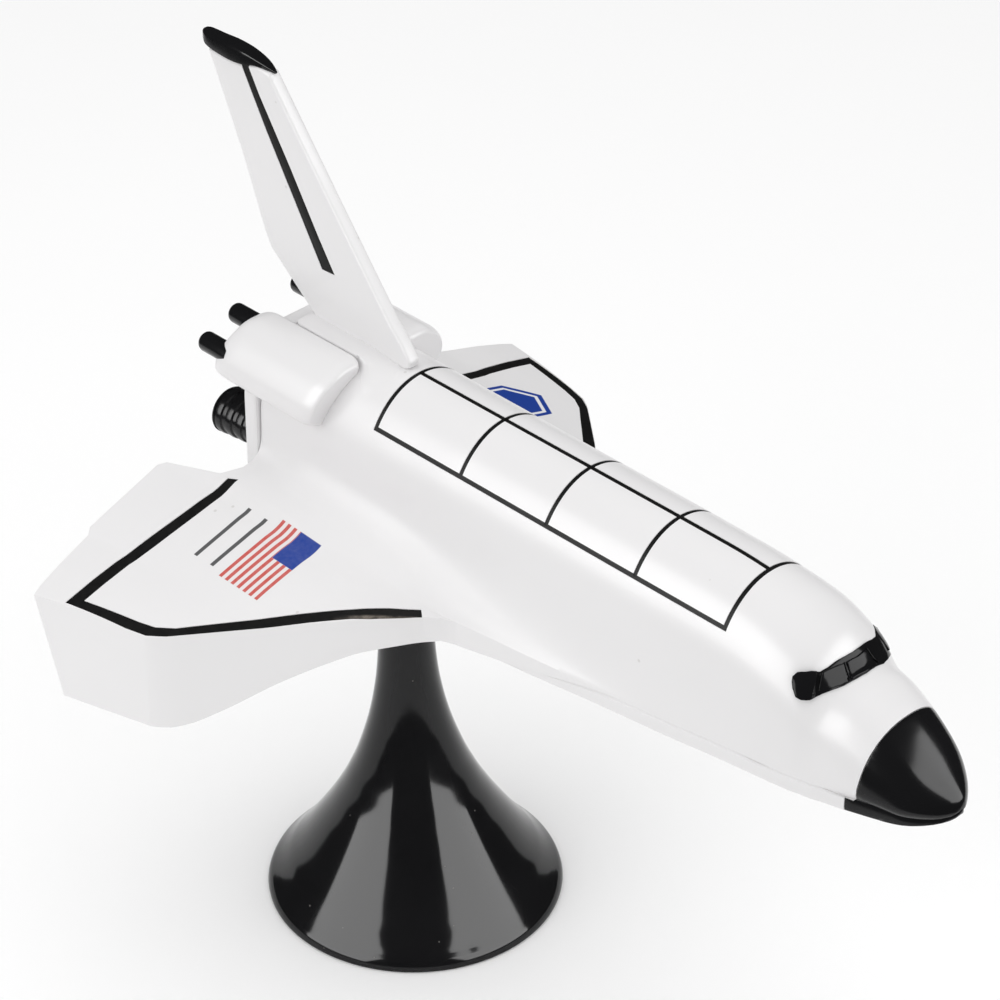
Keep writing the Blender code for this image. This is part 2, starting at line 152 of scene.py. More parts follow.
class Bench:
    """The modeller's bench, where each call works on one piece."""

    @staticmethod
    def clear() -> None:
        """Leave edit mode and deselect everything."""
        if bpy.context.object and bpy.context.object.mode != "OBJECT":
            bpy.ops.object.mode_set(mode="OBJECT")
        bpy.ops.object.select_all(action="DESELECT")

    @staticmethod
    def take(obj: Piece) -> None:
        """Make one object the only selected and active one.

        Args:
            obj: the object.
        """
        Bench.clear()
        obj.select_set(True)
        bpy.context.view_layer.objects.active = obj

    @staticmethod
    def edit(obj: Piece, action: str = "SELECT") -> None:
        """Open one object in edit mode.

        Args:
            obj: the object.
            action: SELECT or DESELECT, for all of it.
        """
        Bench.take(obj)
        bpy.ops.object.mode_set(mode="EDIT")
        bpy.ops.mesh.select_all(action=action)

    @staticmethod
    def named(name: str) -> Piece:
        """Name the object that was just added, and its mesh.

        Args:
            name: the new name.

        Returns:
            The object.
        """
        obj = bpy.context.object
        obj.name = name
        obj.data.name = name
        return obj

    @staticmethod
    def net(name: str, rows: Sequence[Sequence[Point]]) -> Piece:
        """Lay a grid over a form, one grid point to each given point.

        Args:
            name: the piece's name.
            rows: equal rows of points in millimetres.

        Returns:
            The open net as an object.
        """
        Bench.clear()
        cols = len(rows[0])
        bpy.ops.mesh.primitive_grid_add(
            x_subdivisions=cols - 1, y_subdivisions=len(rows) - 1, size=1.0
        )
        obj = Bench.named(name)
        points = [p for row in rows for p in row]
        if len(points) != len(obj.data.vertices):
            raise ValueError(f"{name}: the net has {len(obj.data.vertices)} points, not {len(points)}")
        for vert, point in zip(obj.data.vertices, points):
            vert.co = Vector(point) * MM
        return obj

    @staticmethod
    def skin(name: str, rings: Sequence[Sequence[Point]]) -> Piece:
        """Draw a closed skin over rings, with flat ends.

        Args:
            name: the piece's name.
            rings: rings of equal length, in order, in millimetres.

        Returns:
            The closed piece.
        """
        obj = Bench.net(name, [[*ring, ring[0]] for ring in rings])
        Bench.weld(obj, cap=True)
        return obj

    @staticmethod
    def slab(name: str, outline: Sequence[Point], shift: Point) -> Piece:
        """Cut a flat outline and extrude it.

        Args:
            name: the piece's name.
            outline: corners in order, in millimetres.
            shift: the extrusion in millimetres.

        Returns:
            The closed piece.
        """
        Bench.clear()
        bpy.ops.mesh.primitive_circle_add(vertices=len(outline), fill_type="NGON")
        obj = Bench.named(name)
        for vert, point in zip(obj.data.vertices, outline):
            vert.co = Vector(point) * MM
        Bench.edit(obj)
        bpy.ops.mesh.extrude_region_move(
            TRANSFORM_OT_translate={"value": tuple(Vector(shift) * MM)}
        )
        bpy.ops.mesh.select_all(action="SELECT")
        bpy.ops.mesh.normals_make_consistent(inside=False)
        bpy.ops.object.mode_set(mode="OBJECT")
        return obj

    @staticmethod
    def weld(obj: Piece, cap: bool = False) -> None:
        """Merge doubles and turn the faces outwards.

        Args:
            obj: the piece.
            cap: True closes the holes as well.
        """
        Bench.edit(obj)
        bpy.ops.mesh.remove_doubles(threshold=0.002 * MM)
        if cap:
            bpy.ops.mesh.fill_holes(sides=0)
        bpy.ops.mesh.select_all(action="SELECT")
        bpy.ops.mesh.normals_make_consistent(inside=False)
        bpy.ops.object.mode_set(mode="OBJECT")

    @staticmethod
    def round_edges(obj: Piece, test: EdgeTest, width: float, steps: int) -> None:
        """Round the edges that pass a test.

        Args:
            obj: the piece.
            test: takes an edge and its middle in millimetres.
            width: the rounding in millimetres.
            steps: segments of the rounding.
        """
        Bench.edit(obj, "DESELECT")
        bpy.ops.mesh.select_mode(type="EDGE")
        mesh = bmesh.from_edit_mesh(obj.data)
        for edge in mesh.edges:
            if test(edge, (edge.verts[0].co + edge.verts[1].co) / (2 * MM)):
                edge.select_set(True)
        bmesh.update_edit_mesh(obj.data)
        bpy.ops.mesh.bevel(offset=width * MM, segments=steps, affect="EDGES", clamp_overlap=True)
        bpy.ops.object.mode_set(mode="OBJECT")

    @staticmethod
    def round_sharp(obj: Piece, width: float, angle: float = 50.0, steps: int = 3) -> None:
        """Round every edge sharper than an angle.

        Args:
            obj: the piece.
            width: the rounding in millimetres.
            angle: the least angle between faces, in degrees.
            steps: segments of the rounding.
        """
        Bench.finish_with(
            obj,
            "BEVEL",
            width=width * MM,
            segments=steps,
            limit_method="ANGLE",
            angle_limit=math.radians(angle),
            miter_outer="MITER_ARC",
        )

    @staticmethod
    def finish_with(obj: Piece, kind: str, **settings: object) -> None:
        """Add a modifier and apply it.

        Args:
            obj: the piece.
            kind: the modifier's type.
            settings: its settings by name.
        """
        Bench.take(obj)
        bpy.ops.object.modifier_add(type=kind)
        mod = obj.modifiers[-1]
        for key, value in settings.items():
            setattr(mod, key, value)
        bpy.ops.object.modifier_apply(modifier=mod.name)

    @staticmethod
    def cut(obj: Piece, tool: Piece) -> None:
        """Cut a tool piece out of a piece, and put the tool away."""
        Bench.finish_with(obj, "BOOLEAN", operation="DIFFERENCE", object=tool, solver="EXACT")
        bpy.data.objects.remove(tool, do_unlink=True)

    @staticmethod
    def halve(obj: Piece, at: Point, normal: Point, keep_front: bool) -> None:
        """Bisect a closed piece and close the cut.

        Args:
            obj: the piece.
            at: a point of the plane in millimetres.
            normal: the plane's normal.
            keep_front: True keeps the half that the normal points to.
        """
        Bench.edit(obj)
        bpy.ops.mesh.bisect(
            plane_co=tuple(Vector(at) * MM),
            plane_no=normal,
            use_fill=True,
            clear_inner=keep_front,
            clear_outer=not keep_front,
        )
        bpy.ops.object.mode_set(mode="OBJECT")

    @staticmethod
    def mirrored(obj: Piece, name: str) -> Piece:
        """Copy a piece, with its own mesh, to the other side of the toy.

        Args:
            obj: the piece.
            name: the copy's name.

        Returns:
            The copy, with its faces outwards.
        """
        Bench.take(obj)
        bpy.ops.object.duplicate(linked=False)
        twin = Bench.named(name)
        for vert in twin.data.vertices:
            vert.co.y = -vert.co.y
        Bench.edit(twin)
        bpy.ops.mesh.flip_normals()
        bpy.ops.object.mode_set(mode="OBJECT")
        return twin

    @staticmethod
    def join(obj: Piece, others: Sequence[Piece]) -> None:
        """Join other objects into one.

        Args:
            obj: the object that takes them in.
            others: what it takes in.
        """
        Bench.take(obj)
        for other in others:
            other.select_set(True)
        bpy.ops.object.join()

    @staticmethod
    def smooth(obj: Piece, angle: float = 40.0) -> None:
        """Shade a piece smooth up to an angle in degrees."""
        Bench.take(obj)
        bpy.ops.object.shade_smooth_by_angle(angle=math.radians(angle))

    @staticmethod
    def ready(obj: Piece, finish: bpy.types.Material, slot: str, *nodes: str) -> None:
        """Give a finished piece its material and its place in the frame.

        Args:
            obj: the piece.
            finish: its material.
            slot: the record's material slot; not used.
            nodes: the CAD nodes that it stands for.
        """
        obj.data.materials.clear()
        obj.data.materials.append(finish)
        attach(obj, "root")
        if nodes:
            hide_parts(*nodes)
        LOG.info("%s: %d faces", obj.name, len(obj.data.polygons))


# Shader maths


class Wire:
    """A shader socket or a number that can be used in an expression."""

    def __init__(self, board: Board, source: object) -> None:
        """Keep the node board and the socket or number."""
        self.board = board
        self.source = source

    def _math(self, operation: str, first: object, second: object) -> Wire:
        """One step of arithmetic."""
        node = self.board.node("ShaderNodeMath", {"operation": operation}, {0: first, 1: second})
        return Wire(self.board, node.outputs[0])

    def __add__(self, other: object) -> Wire:
        """Sum."""
        return self._math("ADD", self, other)

    def __sub__(self, other: object) -> Wire:
        """Difference."""
        return self._math("SUBTRACT", self, other)

    def __rsub__(self, other: object) -> Wire:
        """Difference, the other way round."""
        return self._math("SUBTRACT", other, self)

    def __mul__(self, other: object) -> Wire:
        """Product."""
        return self._math("MULTIPLY", self, other)

    def __truediv__(self, other: object) -> Wire:
        """Quotient."""
        return self._math("DIVIDE", self, other)

    def __abs__(self) -> Wire:
        """Size without its sign."""
        return self._math("ABSOLUTE", self, 0.0)

    def __mod__(self, other: object) -> Wire:
        """Remainder that never goes below 0."""
        return self._math("FLOORED_MODULO", self, other)

    def capped(self) -> Wire:
        """Held between 0 and 1."""
        return self._math("MINIMUM", self._math("MAXIMUM", self, 0.0), 1.0)

    def within(self, low: float, high: float, soft: float) -> Wire:
        """1 between two values, with soft borders.

        Args:
            low: the lower border.
            high: the upper border.
            soft: the width of each border.

        Returns:
            The mask.
        """
        up = ((self - low) / soft + 0.5).capped()
        down = ((high - self) / soft + 0.5).capped()
        return up * down


class Board:
    """The node board of one material."""

    def __init__(self, name: str) -> None:
        """Start a material with its one shader.

        Args:
            name: the material's name.
        """
        self.material = bpy.data.materials.new(name)
        self.material.use_nodes = True
        self.tree = self.material.node_tree
        self.shader = self.tree.nodes["Principled BSDF"]
        self._place: Wire | None = None

    def plug(self, value: object, socket: bpy.types.NodeSocket) -> None:
        """Set an input to a number or colour, or link it to a wire.

        Args:
            value: the number, colour or wire.
            socket: the input.
        """
        source = value.source if isinstance(value, Wire) else value
        if isinstance(source, bpy.types.NodeSocket):
            self.tree.links.new(source, socket)
        else:
            socket.default_value = source

    def node(
        self, kind: str, settings: dict[str, object], sockets: dict[object, object]
    ) -> bpy.types.Node:
        """Add a node.

        Args:
            kind: its type.
            settings: set on the node first.
            sockets: values or links by input name or number.

        Returns:
            The node.
        """
        node = self.tree.nodes.new(kind)
        for key, value in settings.items():
            setattr(node, key, value)
        for key, value in sockets.items():
            self.plug(value, node.inputs[key])
        return node

    @property
    def place(self) -> Wire:
        """The object's own coordinates.

        Returns:
            A wire of three numbers in metres.
        """
        if self._place is None:
            node = self.node("ShaderNodeTexCoord", {}, {})
            self._place = Wire(self, node.outputs["Object"])
        return self._place

    def axes(self) -> tuple[Wire, Wire, Wire]:
        """Object coordinates in millimetres, as three numbers."""
        node = self.node("ShaderNodeSeparateXYZ", {}, {0: self.place})
        return tuple(Wire(self, out) * 1000.0 for out in node.outputs)

    def noise(self, size: float, detail: float = 2.0, rough: float = 0.5) -> Wire:
        """Noise over the object's own coordinates.

        Args:
            size: about the size of its blobs in millimetres.
            detail: how many finer layers lie over it.
            rough: how strong they are.

        Returns:
            Numbers about 0.5.
        """
        node = self.node(
            "ShaderNodeTexNoise",
            {},
            {"Vector": self.place, "Scale": 1000.0 / size, "Detail": detail, "Roughness": rough},
        )
        return Wire(self, node.outputs["Fac"])

    def cells(self, size: float) -> Wire:
        """Distance, in cell sizes, to the nearest of scattered points that lie a size apart."""
        node = self.node("ShaderNodeTexVoronoi", {}, {"Vector": self.place, "Scale": 1000.0 / size})
        return Wire(self, node.outputs["Distance"])

    def blend(self, factor: Wire, below: object, above: object) -> Wire:
        """A colour between two others: below where the factor is 0, above where it is 1."""
        node = self.node("ShaderNodeMix", {"data_type": "RGBA"}, {0: factor, 6: below, 7: above})
        return Wire(self, node.outputs[2])

    def feed(self, socket: str, value: object) -> None:
        """Set or link one socket of the shader."""
        self.plug(value, self.shader.inputs[socket])

    def bump(self, height: Wire, depth: float) -> None:
        """Raise the surface by a height of 0 to 1 times a depth in millimetres."""
        node = self.node("ShaderNodeBump", {}, {"Height": height * (depth * MM), "Distance": 1.0})
        self.feed("Normal", Wire(self, node.outputs["Normal"]))


Colour = tuple[float, float, float, float]


def tint(red: float, green: float, blue: float) -> Colour:
    """A colour with full alpha."""
    return (red, green, blue, 1.0)


@dataclass(frozen=True)
class WhitePlastic:
    """Gloss white moulded plastic with a faint moulding ripple and a few specks."""

    name: str
    base: Colour = tint(0.81, 0.802, 0.806)
    shade: Colour = tint(0.785, 0.777, 0.781)
    speck: Colour = tint(0.45, 0.43, 0.4)
    gloss: float = 0.3
    shine: float = 0.36
    coat: float = 0.05
    coat_gloss: float = 0.12
    index: float = 1.45
    ripple: float = 0.01
    ripple_size: float = 7.0
    cloud_size: float = 38.0
    grain_size: float = 2.6
    speck_size: float = 9.0
    speck_part: float = 0.045
    speck_dark: float = 0.35

    def dull(self, board: Board) -> Wire | float:
        """How much rougher the surface is than its gloss, place by place."""
        return 0.0

    def lay(self, board: Board) -> Wire:
        """Lay roughness and ripple.

        Args:
            board: the material's node board.

        Returns:
            The ground colour.
        """
        cloud = board.noise(self.cloud_size)
        grain = board.noise(self.grain_size)
        specks = ((self.speck_part - board.cells(self.speck_size)) * 60.0).capped()
        board.feed("Roughness", (cloud * 0.05 + self.gloss - 0.02) + grain * 0.03 + self.dull(board))
        board.bump(board.noise(self.ripple_size, 1.0) + grain * 0.25, self.ripple)
        board.feed("Coat Roughness", self.coat_gloss)
        board.feed("Coat Weight", self.coat)
        board.feed("IOR", self.index)
        board.feed("Specular IOR Level", self.shine)
        ground = board.blend((cloud * 1.6 - 0.3).capped(), self.base, self.shade)
        return board.blend(specks * self.speck_dark, ground, self.speck)

    def make(self) -> bpy.types.Material:
        """Build the plain finish.

        Returns:
            The material.
        """
        board = Board(self.name)
        board.feed("Base Color", self.lay(board))
        return board.material


@dataclass(frozen=True)
class MarkedPlastic(WhitePlastic):
    """The white of the shell, with the printed panels on its wings."""

    red: Colour = tint(0.58, 0.075, 0.06)
    blue: Colour = tint(0.012, 0.05, 0.31)
    ink: Colour = tint(0.03, 0.03, 0.032)
    under_red: Colour = tint(0.85, 0.45, 0.4)
    ring_white: Colour = tint(0.8, 0.8, 0.82)
    top_z: Flat = (80.0, 99.0)
    panel_x: Flat = (-9.9, 0.9)
    panel_y: Flat = (-40.1, -23.7)
    stripes: int = 13
    corner_x: float = -4.7
    corner_y: float = -31.2
    bars_x: tuple[Flat, ...] = ((-13.4, -12.5), (-18.0, -17.1))
    bars_y: Flat = (-39.2, -25.2)
    patch: Flat = (-14.2, 41.6)
    patch_size: float = 7.7
    patch_flat: float = 0.94
    patch_ring: Flat = (0.86, 0.76)
    print_edge: float = 0.12
    blend_x: Flat = (-30.0, 74.0)
    blend_y: Flat = (15.0, 21.5)
    blend_z: Flat = (92.5, 101.5)
    blend_dull: float = 0.3

    def dull(self, board: Board) -> Wire | float:
        """The blend between body and wing, which takes less polish.

        Args:
            board: the material's node board.

        Returns:
            The mask times how much rougher it is there.
        """
        x, y, z = board.axes()
        blend = abs(y).within(*self.blend_y, 4.0) * z.within(*self.blend_z, 4.0)
        return blend * x.within(*self.blend_x, 8.0) * self.blend_dull

    def make(self) -> bpy.types.Material:
        """Build the finish with its panels.

        Returns:
            The material.
        """
        board = Board(self.name)
        ground = self.lay(board)
        x, y, z = board.axes()
        top = z.within(*self.top_z, 0.2)
        panel = x.within(*self.panel_x, self.print_edge) * y.within(*self.panel_y, self.print_edge) * top
        pitch = (self.panel_x[1] - self.panel_x[0]) / self.stripes
        stripes = ((x - self.panel_x[0]) % (2 * pitch)).within(0.0, pitch, 0.1)
        corner = x.within(self.corner_x, 99.0, 0.1) * y.within(self.corner_y, 99.0, 0.1)
        worn = (board.noise(0.9, 3.0) * 2.0 - 0.5).capped() * 0.1 + 0.88
        ground = board.blend(panel * 0.12, ground, self.under_red)
        ground = board.blend(panel * stripes * (1.0 - corner) * worn, ground, self.red)
        ground = board.blend(panel * corner * (worn * 0.4 + 0.6), ground, self.blue)
        bars = x.within(*self.bars_x[0], 0.1) + x.within(*self.bars_x[1], 0.1)
        bars = bars.capped() * y.within(*self.bars_y, self.print_edge) * top
        ground = board.blend(bars * 0.9, ground, self.ink)
        ground = board.blend(self.hexagon(x, y, self.patch_size) * top, ground, self.blue)
        outer, inner = (self.hexagon(x, y, self.patch_size * part) for part in self.patch_ring)
        ground = board.blend(outer * (1.0 - inner) * top, ground, self.ring_white)
        board.feed("Base Color", ground)
        return board.material

    def hexagon(self, x: Wire, y: Wire, size: float) -> Wire:
        """Mask of a hexagon on the port wing.

        Args:
            x: place along the toy.
            y: place across it.
            size: a little more than the distance from its middle to a side.

        Returns:
            The mask.
        """
        reach = size * self.patch_flat
        across = abs(x - self.patch[0])
        along = abs(y - self.patch[1])
        flat = ((reach - across) / self.print_edge + 0.5).capped()
        slant = ((reach - across * 0.5 - along * 0.866) / self.print_edge + 0.5).capped()
        return flat * slant


@dataclass(frozen=True)
class BlackGloss:
    """Gloss black, as paint or as moulded plastic."""

    name: str
    base: Colour = tint(0.006, 0.006, 0.0065)
    shade: Colour = tint(0.010, 0.010, 0.0108)
    speck: Colour = tint(0.16, 0.15, 0.14)
    gloss: float = 0.12
    ripple: float = 0.012
    ripple_size: float = 3.0
    cloud_size: float = 14.0
    dust: float = 0.0
    dust_size: float = 4.5
    dust_part: float = 0.05
    index: float = 1.42
    shine: float = 0.34

    def make(self) -> bpy.types.Material:
        """Build the finish.

        Returns:
            The material.
        """
        board = Board(self.name)
        cloud = board.noise(self.cloud_size)
        specks = ((self.dust_part - board.cells(self.dust_size)) * 50.0).capped() * self.dust
        board.feed("Roughness", cloud * 0.05 + self.gloss + specks * 0.5)
        board.bump(board.noise(self.ripple_size), self.ripple)
        board.feed("IOR", self.index)
        board.feed("Specular IOR Level", self.shine)
        base = board.blend(cloud, self.base, self.shade)
        board.feed("Base Color", board.blend(specks, base, self.speck))
        return board.material


@dataclass(frozen=True)
class LinePaint:
    """Hand-laid black line paint in a groove, thinner and brown where it is worn."""

    name: str
    worn: bool = False
    base: Colour = tint(0.006, 0.006, 0.0065)
    shade: Colour = tint(0.014, 0.0135, 0.013)
    bare: Colour = tint(0.30, 0.26, 0.22)
    brush_size: float = 1.4
    brush_depth: float = 0.03
    wear_size: float = 3.2
    wear: float = 0.75
    gloss: float = 0.3
    shine: float = 0.12
    worn_x: Flat = (18.0, 40.0)
    worn_edge: Flat = (47.9, 70.0)
    edge_slope: float = 0.86

    def make(self) -> bpy.types.Material:
        """Build the finish.

        Returns:
            The material.
        """
        board = Board(self.name)
        brush = board.noise(self.brush_size, 3.0)
        board.feed("Roughness", brush * 0.25 + self.gloss)
        board.bump(brush, self.brush_depth)
        board.feed("Specular IOR Level", self.shine)
        base = board.blend(brush, self.base, self.shade)
        if self.worn:
            x, y, _ = board.axes()
            edge = (x * self.edge_slope + abs(y)).within(*self.worn_edge, 0.8)
            patchy = (board.noise(self.wear_size, 5.0, 0.7) * 3.0 - 1.1).capped()
            near = x.within(*self.worn_x, 5.0) * edge
            base = board.blend(near * patchy * self.wear, base, self.bare)
        board.feed("Base Color", base)
        return board.material


# Forms


@dataclass(frozen=True)
class Station:
    """One cross-section of the body, in millimetres.

    The crown is an arch of the given half width and power over the waist. The side
    runs from the waist down to the edge, and the keel is the flat bottom.
    """

    along: float
    half: float
    crown: float
    waist: float
    edge: float
    edge_top: float
    keel: float
    power: float = 2.05


@dataclass(frozen=True)
class WingRow:
    """One row of the wing: its top edge points at the front and at the back."""

    lead: Point
    trail: Point


@dataclass
class BodyForm:
    """The body as smooth cross-sections from the aft end to the nose tip."""

    stations: tuple[Station, ...] = (
        Station(-26.2, 14.2, 124.0, 107.0, 19.2, 97.6, 86.0),
        Station(-10.0, 14.2, 124.1, 107.0, 19.4, 97.6, 86.0),
        Station(3.6, 14.2, 124.1, 107.0, 19.8, 97.0, 86.0),
        Station(15.0, 14.1, 124.1, 107.0, 20.4, 95.6, 86.0),
        Station(22.0, 14.1, 124.1, 107.0, 20.9, 94.0, 86.0),
        Station(28.0, 14.0, 124.1, 107.0, 20.9, 92.6, 86.2),
        Station(33.0, 14.0, 124.1, 107.0, 20.1, 92.15, 86.4),
        Station(40.0, 14.0, 124.1, 107.0, 18.9, 91.9, 86.65),
        Station(50.0, 14.0, 124.1, 107.0, 17.6, 91.8, 87.0),
        Station(66.0, 14.0, 124.1, 107.0, 15.8, 92.0, 88.0),
        Station(82.0, 13.8, 124.05, 107.0, 14.6, 93.0, 89.0),
        Station(92.0, 13.65, 123.5, 107.0, 14.0, 93.8, 90.0),
        Station(100.0, 13.6, 122.3, 106.5, 13.5, 94.4, 90.6, 2.08),
        Station(106.0, 13.1, 120.1, 105.2, 13.1, 94.8, 91.0, 2.1),
        Station(109.0, 12.7, 118.2, 104.2, 12.75, 95.0, 91.15, 2.1),
        Station(111.3, 12.1, 115.8, 103.1, 12.35, 95.15, 91.3, 2.1),
        Station(113.2, 11.7, 113.8, 102.2, 12.1, 95.25, 91.4, 2.1),
        Station(114.8, 11.55, 113.25, 101.0, 11.6, 95.35, 91.5, 2.15),
        Station(117.5, 11.25, 112.75, 99.6, 11.0, 95.5, 91.6, 2.25),
        Station(121.0, 10.65, 111.2, 98.3, 10.15, 95.6, 91.7, 2.3),
        Station(126.0, 9.45, 108.1, 97.6, 8.85, 95.4, 91.8, 2.3),
        Station(130.0, 8.1, 104.9, 97.1, 7.5, 95.0, 92.2, 2.25),
        Station(133.0, 6.1, 102.2, 96.8, 5.5, 95.0, 92.8, 2.2),
        Station(135.2, 3.9, 100.3, 96.6, 3.5, 95.2, 93.6, 2.2),
        Station(136.6, 1.9, 98.9, 96.7, 1.7, 95.8, 94.6, 2.2),
        Station(137.1, 0.8, 97.8, 96.8, 0.8, 96.4, 95.5, 2.3),
    )
    pitch: float = 1.5
    round_steps: int = 22
    side_steps: int = 12
    upright_from: float = 12.0
    upright_full: float = 25.0
    side_drop: Flat = (0.45, 0.8)
    side_swing: Flat = (0.35, 0.06)
    side_lift: Flat = (2.2, 0.8)
    lift_full: float = 8.0

    def rows(self, low: float = -99.0, high: float = 999.0) -> list[Station]:
        """Smooth cross-sections about a pitch apart.

        Args:
            low: leave out what lies aft of this.
            high: leave out what lies ahead of this.

        Returns:
            The cross-sections in order.
        """
        names = ("along", "half", "crown", "waist", "edge", "edge_top", "keel", "power")
        keys = [float(i) for i in range(len(self.stations))]
        lines = [Curve(keys, [getattr(s, n) for s in self.stations]) for n in names]
        out = []
        for i, (a, b) in enumerate(zip(self.stations, self.stations[1:])):
            reach = math.hypot(b.along - a.along, b.crown - a.crown)
            count = max(2, math.ceil(reach / self.pitch))
            for k in range(count):
                out.append(Station(*(line.at(i + k / count) for line in lines)))
        out.append(self.stations[-1])
        return [s for s in out if low <= s.along <= high]

    def half_section(self, st: Station, grow: float = 0.0) -> list[Flat]:
        """Points from the crown down to the lower edge, on the port side.

        Args:
            st: the cross-section.
            grow: how far to push the skin out.

        Returns:
            (y, z) pairs.
        """
        w, wc = st.half + grow, st.edge + grow
        zt, zs, zc = st.crown + grow, st.waist, st.edge_top
        bend = 2.0 / st.power
        upright = ramp(-st.along, self.upright_from, self.upright_full)
        drop, swing, lift = (mix(*v, upright) for v in (self.side_drop, self.side_swing, self.side_lift))
        out = []
        for k in range(self.round_steps + 1):
            a = math.pi / 2 * (1 - k / self.round_steps)
            y = w * max(math.cos(a), 0.0) ** bend if k else 0.0
            out.append((y, zs + (zt - zs) * math.sin(a) ** bend))
        frame_points = (
            (w, zs),
            (w, zs - (zs - zc) * drop),
            (w + (wc - w) * swing, zc + lift * min(1.0, (zs - zc) / self.lift_full)),
            (wc, zc),
        )
        for k in range(1, self.side_steps + 1):
            t = k / self.side_steps
            u = 1 - t
            weights = (u**3, 3 * u * u * t, 3 * u * t * t, t**3)
            out.append(tuple(sum(m * p[i] for m, p in zip(weights, frame_points)) for i in (0, 1)))
        return out

    def full_ring(self, st: Station, grow: float) -> list[Point]:
        """The whole closed cross-section.

        Args:
            st: the cross-section.
            grow: how far to push the skin out.

        Returns:
            The ring.
        """
        half = self.half_section(st, grow)
        wc, zb = st.edge + grow, st.keel - grow
        chine = min(0.8, wc * 0.2)
        low = st.edge_top - (st.edge_top - zb) * 0.5
        half += [(wc, low), (wc - chine * 0.15, zb + chine * 0.5), (wc - chine, zb)]
        return ring(st.along, [*half, (wc * 0.5, zb), (0.0, zb)])


@dataclass
class WingForm:
    """The thick wing: its top rows from the root to the tip, and its deep edge."""

    rows: tuple[WingRow, ...] = (
        WingRow((30.9, 21.5, 92.1), (-28.8, 22.9, 96.4)),
        WingRow((28.4, 23.5, 92.2), (-34.5, 24.5, 95.8)),
        WingRow((25.8, 26.6, 92.35), (-40.8, 26.2, 95.0)),
        WingRow((23.4, 29.1, 92.3), (-42.0, 27.6, 94.5)),
        WingRow((20.4, 32.0, 92.0), (-41.9, 33.0, 92.7)),
        WingRow((14.8, 37.0, 91.0), (-41.7, 39.0, 90.8)),
        WingRow((8.4, 42.5, 89.5), (-41.4, 45.4, 88.8)),
        WingRow((6.4, 44.3, 89.05), (-40.1, 47.0, 88.3)),
        WingRow((-2.1, 51.7, 87.2), (-38.4, 55.6, 86.6)),
        WingRow((-7.0, 55.9, 86.1), (-37.2, 61.4, 85.1)),
        WingRow((-10.2, 58.1, 85.5), (-36.4, 63.6, 84.5)),
    )
    low: tuple[Flat, ...] = (
        (0.0, 89.65),
        (20.4, 89.65),
        (21.3, 87.4),
        (26.7, 86.2),
        (31.7, 84.6),
        (36.5, 81.4),
        (42.8, 76.0),
        (49.6, 69.3),
        (53.9, 65.8),
        (57.0, 64.6),
        (70.0, 64.4),
    )
    bow: float = 0.5
    pitch: float = 1.6
    lean: float = 7.0

    def edge_rows(self) -> list[WingRow]:
        """Rows about a pitch apart, smooth at the front and straight at the back.

        Returns:
            The rows from the root to the tip.
        """
        keys = [float(i) for i in range(len(self.rows))]
        front = [Curve(keys, [r.lead[a] for r in self.rows]) for a in range(3)]
        out = []
        for i, (a, b) in enumerate(zip(self.rows, self.rows[1:])):
            reach = max(math.dist(a.lead, b.lead), math.dist(a.trail, b.trail))
            count = max(1, round(reach / self.pitch))
            for k in range(count):
                t = k / count
                lead = tuple(line.at(i + t) for line in front)
                trail = tuple(mix(p, q, t) for p, q in zip(a.trail, b.trail))
                out.append(WingRow(lead, trail))
        out.append(self.rows[-1])
        return out

    def under(self, y: float) -> float:
        """Height of the deep edge's bottom at a distance from the middle."""
        keys, values = zip(*self.low)
        return Curve(keys, values).at(abs(y))


